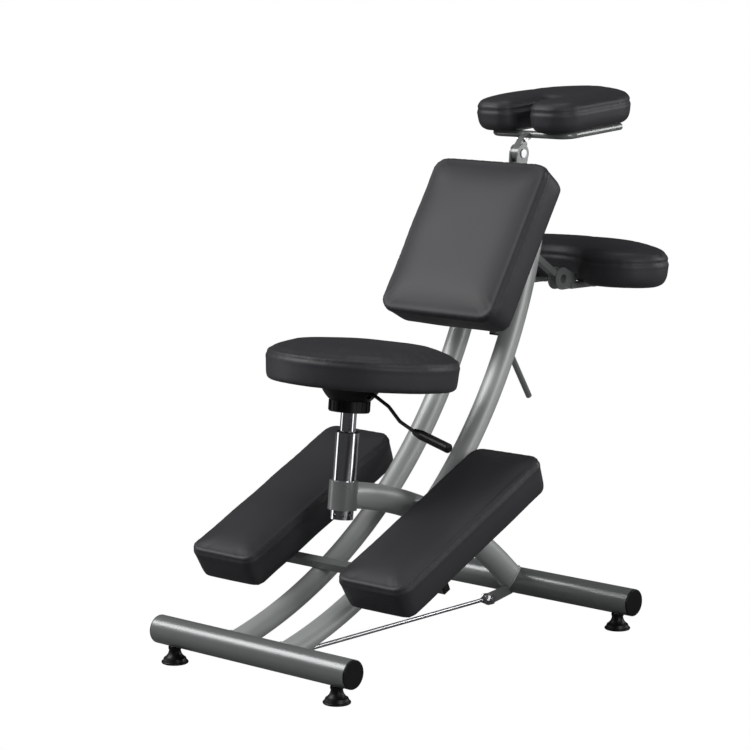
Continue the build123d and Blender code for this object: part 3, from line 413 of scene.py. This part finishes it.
def horseshoe():
    """A round rear end, two rounded tips and a slot between them."""
    half, front, back = 0.114, -0.043, 0.243
    slot, slot_end = 0.020, 0.072
    outer, inner = 0.046, 0.032
    return np.vstack([
        arc((0, back - half), half, 0, 180),
        arc((outer - half, front + outer), outer, 180, 270),
        arc((-slot - inner, front + inner), inner, 270, 360),
        arc((0, slot_end), slot, 180, 0),
        arc((slot + inner, front + inner), inner, 180, 270),
        arc((half - outer, front + outer), outer, 270, 360),
    ])


def crescent():
    """Two round lobes, a long back arc and the notch arc between the lobes."""
    x, y, lobe = 0.142, 0.091, 0.084
    back, notch = 0.3124, 0.110
    back_y = y - sqrt((back - lobe) ** 2 - x ** 2)
    notch_y = y - sqrt((notch + lobe) ** 2 - x ** 2)
    back_angle = degrees(atan2(y - back_y, x))
    notch_angle = degrees(atan2(y - notch_y, x))
    return np.vstack([
        arc((x, y), lobe, notch_angle - 180, back_angle),
        arc((0, back_y), back, back_angle, 180 - back_angle),
        arc((-x, y), lobe, 180 - back_angle, 360 - notch_angle),
        arc((0, notch_y), notch, 180 - notch_angle, notch_angle),
    ])


# Places of the cushions

# Each cushion's own plane leans by tilt degrees at y and z, its place, and the cushion is shifted
# in that plane. The seam lies at seam_share of its height. Crown says how far its middle rises,
# and swell how far the cover may fill out.

KNEE_PAD = {
    "body": "frame", "place": (-0.259731, 0.164537, -24.85),
    "seam_share": 0.88, "crown": 0.001, "swell": 0.006,
}
PADS = {
    "right_knee_pad": {**KNEE_PAD, "shift": (0.1765, 0.0985, 0.008)},
    "left_knee_pad": {**KNEE_PAD, "shift": (-0.1765, 0.0985, 0.008)},
    "chest_pad": {
        "body": "frame", "place": (0.127181, 0.6912, -57.9), "shift": (0, 0, 0),
        "seam_share": 0.88, "crown": 0.002, "swell": 0.008,
    },
    "seat_cushion": {
        "body": "seat", "place": (-0.25536, 0.293712, 6.0), "shift": (0, 0.0273, 0.1955),
        "seam_share": 0.63, "crown": 0, "swell": 0.006,
    },
    "headrest_pad": {
        "body": "headrest", "place": (0.265643, 0.904237, -3.9), "shift": (0, 0, 0.0068),
        "seam_share": 0.66, "crown": 0.001, "swell": 0.006,
    },
    "armrest_pad": {
        "body": "armrest", "place": (0.284181, 0.6355, 1.0), "shift": (0, 0, -0.011),
        "seam_share": 0.66, "crown": 0.001, "swell": 0.006,
    },
}


def at_pad(points, pad):
    """Points of a cushion's own plane, moved to its place on the chair."""
    y, z, tilt = pad["place"]
    return leaning(points + np.array(pad["shift"]), y, z, tilt)


# Profiles of the cushions

# Height as a share of the cushion's, and inset from the outline in units of INSET_UNIT.

INSET_UNIT = 0.012
SQUARE_SHARES = (
    (0, 0.6), (0.03, 0.5), (0.2, 0.32), (0.45, 0.2), (0.7, 0.08),
    (0.88, 0), (0.92, 0.08), (0.96, 0.3), (1, 1.4),
)
ROUND_SHARES = (
    (0, 1.25), (0.04, 0.8), (0.12, 0.45), (0.25, 0.16), (0.48, 0),
    (0.66, 0.03), (0.8, 0.15), (0.93, 0.6), (1, 1.6),
)

# Height and radius of the seat in millimetres.

SEAT_RINGS = (
    (0, 163), (1.5, 167.2), (6, 169), (26, 170.8), (47, 172), (51, 169.4), (56, 165.2),
    (61, 160), (64, 157), (67.2, 132), (70.5, 98), (73.5, 55), (75, 20),
)
SEAT_TOP = 75
SEAT_WIDEST = 172
MILLIMETRE = 0.001

# Depth of the recess that takes the board, and its inset from the outline.

SQUARE_BOARD = (0.0124, 0.020)
HEAD_BOARD = (0.0094, 0.0205)
ARM_BOARD = (0.0104, 0.0205)
SEAT_BOARD = (0.012, 0.0243)

KNEE_CORNER = 0.024
CHEST_CORNER = 0.030


def recess(board):
    """The first two rings: the recess's ceiling and its mouth."""
    depth, inset = board
    return [(depth, inset), (0, inset)]


def profile_of(height, board, shares):
    """Height and inset of each ring of a cushion, from the recess up to the top."""
    return recess(board) + [(share * height, inset * INSET_UNIT) for share, inset in shares]


def seat_profile(height):
    return recess(SEAT_BOARD) + [
        (high * height / SEAT_TOP, (SEAT_WIDEST - radius) * MILLIMETRE) for high, radius in SEAT_RINGS
    ]


def seam_of(profile, share):
    """Height and inset of the seam, which lies at a share of the cushion's height."""
    levels, insets = zip(*profile[1:])
    height = profile[-1][0] * share
    return height, float(np.interp(height, levels, insets))


# Cushions

OUTLINE_STEP = 0.004
HELD_HEIGHT = 0.012
HELD_WIDTH = 0.006
CLOTH_FRAMES = 20
LEAST_MOVE = 1e-9
LEAST_HOLD = 0.01
CROWN_WIDTH = 0.045
SEAM_WIDTH = 0.0028
FOLD_PITCH = 0.0042
FOLD_DRIFT, FOLD_SWAY = 0.031, 2.2
FOLD_FADE = 0.010
ROLL_HEIGHT, ROLL_PLACE, ROLL_WIDTH = 0.0007, 0.007, 0.004
WAVES, WAVE_HEIGHT, WAVE_RATES = 7, 0.00022, (18, 60)
POINTS_AT_ONCE = 4000


def rings(line, outward, profile):
    """One ring of points for each height and inset of the profile."""
    layers = []
    for height, inset in profile:
        flat = line - outward * inset
        layers.append(np.column_stack([flat, np.full(len(flat), height)]))
    return np.array(layers)


def nearest(points, line):
    """Distance from each point to the closest point of a line, and that point's number."""
    distance = np.empty(len(points))
    index = np.empty(len(points), dtype=int)
    for start in range(0, len(points), POINTS_AT_ONCE):
        part = slice(start, start + POINTS_AT_ONCE)
        gap = ((points[part, None] - line[None]) ** 2).sum(-1)
        index[part] = gap.argmin(1)
        distance[part] = np.sqrt(gap.min(1))
    return distance, index


def even_form(name, layers, voxel):
    """A closed form through rings of points, meshed anew in even steps and smoothed a little."""
    piece = new_piece(name, layers, capped(*layers.shape[:2]), "black_leather")
    remesh = piece.modifiers.new("Even", "REMESH")
    remesh.mode = "VOXEL"
    remesh.voxel_size = voxel
    smooth = piece.modifiers.new("Soft", "SMOOTH")
    smooth.factor = 0.5
    smooth.iterations = 3
    baked(piece)
    return piece


def blown_up(piece, held, limit):
    """The cover swells under pressure as cloth, held by a share at each point.

    A point that the cloth moves by far is moved by limit * tanh(far / limit) instead.
    """
    mesh = piece.data
    rest = coordinates(mesh)
    group = piece.vertex_groups.new(name="held")
    for number in np.flatnonzero(held > LEAST_HOLD):
        group.add([int(number)], float(held[number]), "REPLACE")
    cloth = piece.modifiers.new("Cover", "CLOTH")
    cloth.settings.quality = 4
    cloth.settings.mass = 0.25
    cloth.settings.tension_stiffness = 12
    cloth.settings.compression_stiffness = 12
    cloth.settings.bending_stiffness = 0.4
    cloth.settings.use_pressure = True
    cloth.settings.uniform_pressure_force = 4
    cloth.settings.vertex_group_mass = "held"
    cloth.settings.effector_weights.gravity = 0
    cloth.point_cache.frame_start = 1
    cloth.point_cache.frame_end = CLOTH_FRAMES
    scene = bpy.context.scene
    for number in range(1, CLOTH_FRAMES + 1):
        scene.frame_set(number)
    moved = coordinates(evaluated(piece).data) - rest
    scene.frame_set(1)
    piece.modifiers.clear()
    far = np.linalg.norm(moved, axis=1, keepdims=True)
    store(mesh, rest + moved * limit * np.tanh(far / limit) / np.maximum(far, LEAST_MOVE))


def crown_of(points, line, seam_height, top, crown):
    """Rise of the points above the seam: crown * share * (1 - exp(-(d / width) ** 2)).

    The share runs from 0 at the seam to 1 at the top, and d is the distance from the outline,
    seen from above.
    """
    inner = nearest(points[:, :2], line)[0]
    share = np.clip((points[:, 2] - seam_height) / (top - seam_height), 0, 1)
    return crown * share * (1 - np.exp(-(inner / CROWN_WIDTH) ** 2))


def relief(points, seam_line, sizes, seed):
    """How far each point of a cover stands out.

    At the distance d from the seam it sinks by depth * exp(-(d / width) ** 2) and rises again in
    a low roll beside it. Small folds run across the seam as
    pucker * exp(-d / fade) * sin(way / pitch), with a pitch that drifts along the seam, and a few
    slow waves in random directions cover the whole.
    """
    rng = np.random.default_rng(seed)
    distance, index = nearest(points, seam_line)
    way = index * OUTLINE_STEP
    fold = np.sin(way / FOLD_PITCH + FOLD_SWAY * np.sin(way / FOLD_DRIFT + seed))
    height = -sizes.seam_depth * np.exp(-(distance / SEAM_WIDTH) ** 2)
    height += ROLL_HEIGHT * np.exp(-((distance - ROLL_PLACE) / ROLL_WIDTH) ** 2)
    height += sizes.pucker * fold * np.exp(-distance / FOLD_FADE)
    for _ in range(WAVES):
        direction = rng.normal(size=3)
        direction *= rng.uniform(*WAVE_RATES) / np.linalg.norm(direction)
        height += WAVE_HEIGHT * np.sin(points @ direction + rng.uniform(0, tau))
    return height


def cushion(name, outline, profile, pad, sizes, seed):
    """A padded form in its own plane, and the line of its seam.

    Rings of the outline at each height and inset of the profile make a closed form. Its cover
    swells as cloth, held at the underside and at the seam, then gets its crown and its relief.
    """
    line, outward = evenly(outline, OUTLINE_STEP)
    seam_height, seam_inset = seam_of(profile, pad["seam_share"])
    seam_line = np.column_stack([line - outward * seam_inset, np.full(len(line), seam_height)])
    piece = even_form(name, rings(line, outward, profile), sizes.voxel)
    points = coordinates(piece.data)
    low = np.clip(1 - points[:, 2] / HELD_HEIGHT, 0, 1)
    near = np.exp(-(nearest(points, seam_line)[0] / HELD_WIDTH) ** 2)
    blown_up(piece, np.maximum(low, near), pad["swell"])
    finer = piece.modifiers.new("Finer", "SUBSURF")
    finer.levels = finer.render_levels = 1
    mesh = baked(piece)
    points, facing = coordinates(mesh), normals(mesh)
    points[:, 2] += crown_of(points, line, seam_height, profile[-1][0], pad["crown"])
    store(mesh, points + facing * relief(points, seam_line, sizes, seed)[:, None])
    mesh.shade_smooth()
    return piece, seam_line


def fitted(piece, node, body):
    """Hides the CAD node that a cushion stands for and attaches the cushion to its body."""
    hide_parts(node)
    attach(piece, body)


# Stitches

THREAD_RINGS, THREAD_SIDES = 5, 6
THREAD_RADIUS = 0.0004
THREAD_RISE = 0.0001
THREAD_END = 0.98
THREAD_SHARE = 0.36
SEAM_LIFT = 0.0045


def spread(directions, amounts):
    """Each direction times a whole grid of amounts."""
    return directions[:, None, None] * amounts[..., None]


def stitches(name, piece, seam_line, lift, sizes, body):
    """Short threads along a seam, each a small spindle lying on the cover.

    A thread's radius is r * sqrt(1 - s ** 2) for s from -1 to 1 along it.
    """
    points, facing = coordinates(piece.data), normals(piece.data)
    step = np.linalg.norm(seam_line - np.roll(seam_line, 1, 0), axis=1).mean()
    way = np.arange(0, len(seam_line) * step, sizes.stitch) / step
    base = seam_line[np.minimum(way.astype(int), len(seam_line) - 1)] + lift
    index = nearest(base, points)[1]
    centre, up = points[index], facing[index]
    along = along_closed(centre)
    lengthwise = np.linspace(-THREAD_END, THREAD_END, THREAD_RINGS)
    share, turn = np.meshgrid(lengthwise, around(THREAD_SIDES), indexing="ij")
    radius = THREAD_RADIUS * np.sqrt(1 - share ** 2)
    spindle = (spread(along, share * sizes.stitch * THREAD_SHARE)
               + spread(np.cross(up, along), radius * np.cos(turn))
               + spread(up, radius * np.sin(turn) + THREAD_RISE))
    threads = centre[:, None, None] + spindle
    single = capped(THREAD_RINGS, THREAD_SIDES)
    corners = THREAD_RINGS * THREAD_SIDES
    faces = [[corner + number * corners for corner in face]
             for number in range(len(threads)) for face in single]
    made = new_piece(name, threads, faces, "thread")
    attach(made, body)
    return made


# Operators

SHARP_ANGLE = 32


class ChairOperator:
    """What the operators share."""
    bl_options = {"REGISTER", "UNDO"}

    def sizes(self, context):
        return context.scene.chair_sizes

    def colours(self, context):
        return context.scene.chair_colours


class CHAIR_OT_finishes(ChairOperator, bpy.types.Operator):
    """Gives each CAD node the finish of its material slot"""
    bl_idname = "chair.finishes"
    bl_label = "Finishes"

    def execute(self, context):
        made = finishes(self.colours(context))
        slots = {entry["node"]: entry["material_slot"] for entry in frame["record"]["subparts"]}
        for name, node in frame["nodes"].items():
            node.data.materials.clear()
            node.data.materials.append(made[slots[name]])
            node.data.shade_smooth()
            node.data.set_sharp_from_angle(angle=radians(SHARP_ANGLE))
        return {"FINISHED"}


class CHAIR_OT_cushions(ChairOperator, bpy.types.Operator):
    """Builds the six cushions with their seams and stitches"""
    bl_idname = "chair.cushions"
    bl_label = "Cushions"

    def execute(self, context):
        sizes = self.sizes(context)
        knee = (oblong(sizes.knee_width, sizes.knee_length, KNEE_CORNER),
                profile_of(sizes.knee_height, SQUARE_BOARD, SQUARE_SHARES))
        forms = {
            "right_knee_pad": knee,
            "left_knee_pad": knee,
            "chest_pad": (oblong(sizes.chest_width, sizes.chest_length, CHEST_CORNER),
                          profile_of(sizes.chest_height, SQUARE_BOARD, SQUARE_SHARES)),
            "seat_cushion": (arc((0, 0), sizes.seat_radius, 0, ROUND_END), seat_profile(sizes.seat_height)),
            "headrest_pad": (horseshoe(), profile_of(sizes.head_height, HEAD_BOARD, ROUND_SHARES)),
            "armrest_pad": (crescent(), profile_of(sizes.arm_height, ARM_BOARD, ROUND_SHARES)),
        }
        for seed, (name, (outline, profile)) in enumerate(forms.items(), start=3):
            pad = PADS[name]
            piece, seam_line = cushion(name + "_cover", outline, profile, pad, sizes, seed)
            store(piece.data, at_pad(coordinates(piece.data), pad))
            lift = leaning(np.array([[0, 0, SEAM_LIFT]]), 0, 0, pad["place"][2])
            stitches(name + "_stitches", piece, at_pad(seam_line, pad), lift, sizes, pad["body"])
            fitted(piece, name, pad["body"])
        return {"FINISHED"}


# Tubes

# Angles are in degrees, half widths across the chair and in the plane of the bend.

TUBE_SIDES = 64
RAIL_CENTRE = (-0.6644158, 0.9256374)
RAIL_START, RAIL_END, RAIL_STEPS = 11.7, 80.6, 150
RAIL_HALVES = (0.0221, 0.0179)
ARM_CENTRE = (-0.3832901, -0.5769391)
ARM_START, ARM_END, ARM_STEPS = 7.8, 40.8, 90
ARM_HALVES = (0.024, 0.024)
ARM_RUN, ARM_RUN_STEPS = 0.0516, 7
COLUMN_REACH = 0.0245
BAR_Z = 0.0555
REAR_BAR = 0.230781
FRONT_BAR = -0.484219


def bent_tube(name, line, x, halves, lids=True):
    """A tube of elliptic section along a line in a plane of Y and Z.

    A point is centre + half_x * cos(turn) * X + half_deep * sin(turn) * normal, where the normal
    is the tangent turned by a quarter.
    """
    y, z, tangent_y, tangent_z = line
    half_x, half_deep = halves
    turn = around(TUBE_SIDES)
    rows = np.empty((len(y), TUBE_SIDES, 3))
    rows[..., 0] = x + half_x * np.cos(turn)
    rows[..., 1] = y[:, None] - tangent_z[:, None] * half_deep * np.sin(turn)
    rows[..., 2] = z[:, None] + tangent_y[:, None] * half_deep * np.sin(turn)
    make_faces = capped if lids else grid_faces
    return new_piece(name, rows, make_faces(len(y), TUBE_SIDES), "frame_paint")


def rail_line(radius):
    """The arc of a rail, with its directions."""
    angle = np.radians(np.linspace(RAIL_START, RAIL_END, RAIL_STEPS))
    y = RAIL_CENTRE[0] + radius * np.sin(angle)
    z = RAIL_CENTRE[1] - radius * np.cos(angle)
    return y, z, np.cos(angle), np.sin(angle)


def arm_line(radius):
    """The seat arm's arc, then its straight end down to the rear bar, with their directions."""
    angle = np.radians(np.linspace(ARM_START, ARM_END, ARM_STEPS))
    y = ARM_CENTRE[0] + radius * np.sin(angle)
    z = ARM_CENTRE[1] + radius * np.cos(angle)
    along_y, along_z = np.cos(angle), -np.sin(angle)
    run = np.linspace(0, ARM_RUN, ARM_RUN_STEPS + 1)[1:]
    straight_y = np.full(ARM_RUN_STEPS, along_y[-1])
    straight_z = np.full(ARM_RUN_STEPS, along_z[-1])
    return (np.concatenate([y, y[-1] + straight_y * run]),
            np.concatenate([z, z[-1] + straight_z * run]),
            np.concatenate([along_y, straight_y]),
            np.concatenate([along_z, straight_z]))


class CHAIR_OT_tubes(ChairOperator, bpy.types.Operator):
    """Builds the curved rails and the seat arm as smooth tubes"""
    bl_idname = "chair.tubes"
    bl_label = "Curved tubes"

    def execute(self, context):
        sizes = self.sizes(context)
        rail, arm = rail_line(sizes.rail_radius), arm_line(sizes.arm_radius)
        for side, node in ((1, "right_rail"), (-1, "left_rail")):
            self.fit(bent_tube(node + "_tube", rail, side * sizes.rail_side, RAIL_HALVES), node)
        piece = bent_tube("seat_arm_tube", arm, 0, ARM_HALVES, lids=False)
        self.round_the_column(piece)
        self.fit(piece, "seat_arm")
        return {"FINISHED"}

    def round_the_column(self, piece):
        """Draws the arm's first rings back to a cylinder of radius reach about the leaning column.

        A point at x that lies nearer than y = sqrt(reach ** 2 - x ** 2) to the column's axis,
        measured along the arm and square to that axis, moves out to that y.
        """
        y, z, tilt = PADS["seat_cushion"]["place"]
        points = coordinates(piece.data)
        across = np.array([0, cos(radians(tilt)), -sin(radians(tilt))])
        out = (points - np.array([0, y, z])) @ across
        edge = np.sqrt(np.maximum(COLUMN_REACH ** 2 - points[:, 0] ** 2, 0))
        store(piece.data, points + np.maximum(edge - out, 0)[:, None] * across)

    def fit(self, piece, node):
        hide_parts(node)
        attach(piece, "frame")


# Welds

BEAD_SIDES = 10
RAIL_WELD_POINTS = 260
ARM_WELD_POINTS = 280
SCALE_PITCH, SCALE_SHARE = 0.0028, 0.16
SLOW_PITCH, SLOW_SHARE = 0.021, 0.1


def bead(name, path, radius, seed, body):
    """A weld bead round a closed path, with the small scales of its passes.

    Its radius is r * (1 + a * sin(way * tau / pitch)), made uneven by a slower and lower wave.
    """
    along = along_closed(path)
    first = unit(np.cross(along, path - path.mean(0)))
    second = np.cross(along, first)
    way = np.cumsum(np.linalg.norm(np.roll(path, -1, 0) - path, axis=1))
    scales = SCALE_SHARE * np.sin(way * tau / SCALE_PITCH)
    swell = radius * (1 + scales + SLOW_SHARE * np.sin(way * tau / SLOW_PITCH + seed))
    turn = around(BEAD_SIDES)
    rows = (path[:, None] + first[:, None] * (swell[:, None] * np.cos(turn))[..., None]
            + second[:, None] * (swell[:, None] * np.sin(turn))[..., None])
    piece = new_piece(name, rows, grid_faces(len(path), BEAD_SIDES, True), "frame_paint")
    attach(piece, body)
    return piece


def meeting(x, halves, angle, bar_y, bar_radius, count):
    """Where a straight elliptic tube comes out of a bar that lies across the chair.

    The tube starts at the bar's axis and rises by angle from the chair's Y direction. For a point
    of its section at the way p from the axis, the run r along the tube solves
    |p + r * along| = bar_radius.
    """
    half_x, half_deep = halves
    along_y, along_z = cos(angle), sin(angle)
    turn = around(count)
    y = -along_z * half_deep * np.sin(turn)
    z = along_y * half_deep * np.sin(turn)
    slope = y * along_y + z * along_z
    run = -slope + np.sqrt(np.maximum(slope ** 2 - (y ** 2 + z ** 2 - bar_radius ** 2), 0))
    return np.stack([x + half_x * np.cos(turn), y + run * along_y + bar_y, z + run * along_z + BAR_Z], -1)


class CHAIR_OT_welds(ChairOperator, bpy.types.Operator):
    """Lays weld beads where the tubes meet"""
    bl_idname = "chair.welds"
    bl_label = "Welds"

    def execute(self, context):
        sizes = self.sizes(context)
        rise = radians(RAIL_START + degrees(sizes.bar_radius / sizes.rail_radius))
        for side, name in ((1, "right"), (-1, "left")):
            path = meeting(side * sizes.rail_side, RAIL_HALVES, rise, FRONT_BAR, sizes.bar_radius,
                           RAIL_WELD_POINTS)
            bead(name + "_rail_weld", path, sizes.weld, 1 + side, "frame")
        path = meeting(0, ARM_HALVES, radians(180 - ARM_END), REAR_BAR, sizes.bar_radius,
                       ARM_WELD_POINTS)
        bead("seat_arm_weld", path, sizes.weld, 4, "frame")
        return {"FINISHED"}


# Stage

# Name, place, target, width, height and watts of each soft light.

SOFTBOXES = (
    ("Key", (-1.8, -2.9, 2.9), (0, 0, 0.6), 1.8, 1.8, 72),
    ("Side", (-2.6, -1.7, 2.7), (0, 0, 0.4), 1.2, 1.6, 46),
    ("Fill", (3.2, -0.9, 1.5), (0, 0, 0.4), 1.3, 2.0, 40),
    ("Top", (0.2, 0.2, 3.2), (0, 0, 0.4), 1.2, 1.2, 14),
    ("Left strip", (-1.35, -0.95, 0.35), (0, -0.25, 0.4), 0.5, 0.7, 1.7),
    ("Right strip", (1.5, 0.35, 0.35), (0, -0.25, 0.4), 0.4, 0.7, 1.5),
    ("Rim", (1.8, 2.8, 1.4), (0, 0, 0.5), 0.7, 1.6, 30),
)
WHITE = (1, 1, 1, 1)
FLOOR_HALF = 8.0
FLOOR_DROP = 0.0005


def linked(name, data):
    """A new object in the scene."""
    made = bpy.data.objects.new(name, data)
    bpy.context.scene.collection.objects.link(made)
    return made


class CHAIR_OT_stage(ChairOperator, bpy.types.Operator):
    """Sets the floor, the soft studio light and the camera"""
    bl_idname = "chair.stage"
    bl_label = "Stage"

    def execute(self, context):
        scene = context.scene
        self.floor()
        self.world(scene)
        for settings in SOFTBOXES:
            self.softbox(*settings)
        self.camera(scene)
        view = scene.view_settings
        view.view_transform = "Standard"
        view.look = "None"
        view.exposure = 0
        view.gamma = 1
        return {"FINISHED"}

    def floor(self):
        """A light grey floor that the camera itself sees as pure white."""
        shader = new_shader("floor")
        tone = shader.blend(shader.noise(3.0), (0.20, 0.20, 0.205), (0.22, 0.22, 0.225))
        plain = shader.node("ShaderNodeBsdfDiffuse", {"Color": tone})
        glow = shader.node("ShaderNodeEmission", {"Color": WHITE, "Strength": 1.0})
        seen = shader.node("ShaderNodeLightPath", output="Is Camera Ray")
        material = shader.finish(shader.node("ShaderNodeMixShader", {0: seen, 1: plain, 2: glow}))
        signs = ((-1, -1), (1, -1), (1, 1), (-1, 1))
        corners = [(x * FLOOR_HALF, y * FLOOR_HALF, -FLOOR_DROP) for x, y in signs]
        mesh = bpy.data.meshes.new("floor")
        mesh.from_pydata(corners, [], [(0, 1, 2, 3)])
        mesh.materials.append(material)
        floor = linked("floor", mesh)

    def world(self, scene):
        """Pure white where the camera looks past the chair, and a faint cool light on the chair."""
        shader = Shader(bpy.data.worlds.new("studio"))
        seen = shader.node("ShaderNodeLightPath", output="Is Camera Ray")
        white = shader.node("ShaderNodeBackground", {"Color": WHITE})
        soft = shader.node("ShaderNodeBackground", {"Color": (0.93, 0.95, 1, 1), "Strength": 0.05})
        mix = shader.node("ShaderNodeMixShader", {0: seen, 1: soft, 2: white})
        scene.world = shader.finish(mix, "ShaderNodeOutputWorld")

    def softbox(self, name, place, target, wide, high, power):
        """A rectangular lamp that faces its target."""
        data = bpy.data.lights.new(name, "AREA")
        data.shape = "RECTANGLE"
        data.size = wide
        data.size_y = high
        data.energy = power
        away = np.array(place, dtype=float) - np.array(target, dtype=float)
        away /= np.linalg.norm(away)
        side = np.cross((0, 0, 1), away)
        side /= np.linalg.norm(side)
        lamp = linked(name, data)
        lamp.rotation_euler = Matrix((side, np.cross(away, side), away)).transposed().to_euler()
        lamp.location = place

    def camera(self, scene):
        """The photograph's viewpoint: right, up and back vectors from azimuth, elevation and roll."""
        azimuth, elevation, roll = radians(41.43), radians(8.93), radians(0.11)
        back = np.array([sin(azimuth) * cos(elevation), -cos(azimuth) * cos(elevation), sin(elevation)])
        right = np.array([cos(azimuth), sin(azimuth), 0.0])
        up = np.cross(back, right)
        right, up = cos(roll) * right + sin(roll) * up, cos(roll) * up - sin(roll) * right
        data = bpy.data.cameras.new("camera")
        data.lens = 126.02
        data.sensor_width = 36
        data.clip_end = 50
        camera = linked("camera", data)
        camera.rotation_euler = Matrix((right, up, back)).transposed().to_euler()
        camera.location = (3.04858, -3.625189, 1.22182)
        scene.camera = camera


class CHAIR_PT_panel(bpy.types.Panel):
    """Sizes, colours and one button for each step"""
    bl_label = "Tattoo chair"
    bl_idname = "CHAIR_PT_panel"
    bl_space_type = "VIEW_3D"
    bl_region_type = "UI"
    bl_category = "Chair"

    def draw(self, context):
        for settings in (context.scene.chair_sizes, context.scene.chair_colours):
            box = self.layout.box()
            for name in settings.bl_rna.properties.keys():
                if name not in ("rna_type", "name"):
                    box.prop(settings, name)
        for operator in OPERATORS:
            self.layout.operator(operator.bl_idname)


OPERATORS = (CHAIR_OT_finishes, CHAIR_OT_cushions, CHAIR_OT_tubes, CHAIR_OT_welds, CHAIR_OT_stage)
CLASSES = (ChairSizes, ChairColours, *OPERATORS, CHAIR_PT_panel)


def register():
    for entry in CLASSES:
        bpy.utils.register_class(entry)
    bpy.types.Scene.chair_sizes = bpy.props.PointerProperty(type=ChairSizes)
    bpy.types.Scene.chair_colours = bpy.props.PointerProperty(type=ChairColours)


def unregister():
    del bpy.types.Scene.chair_colours
    del bpy.types.Scene.chair_sizes
    for entry in reversed(CLASSES):
        bpy.utils.unregister_class(entry)


def main():
    register()
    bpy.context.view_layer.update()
    bpy.ops.chair.finishes()
    bpy.ops.chair.cushions()
    bpy.ops.chair.tubes()
    bpy.ops.chair.welds()
    bpy.ops.chair.stage()


if __name__ == "__main__":
    main()
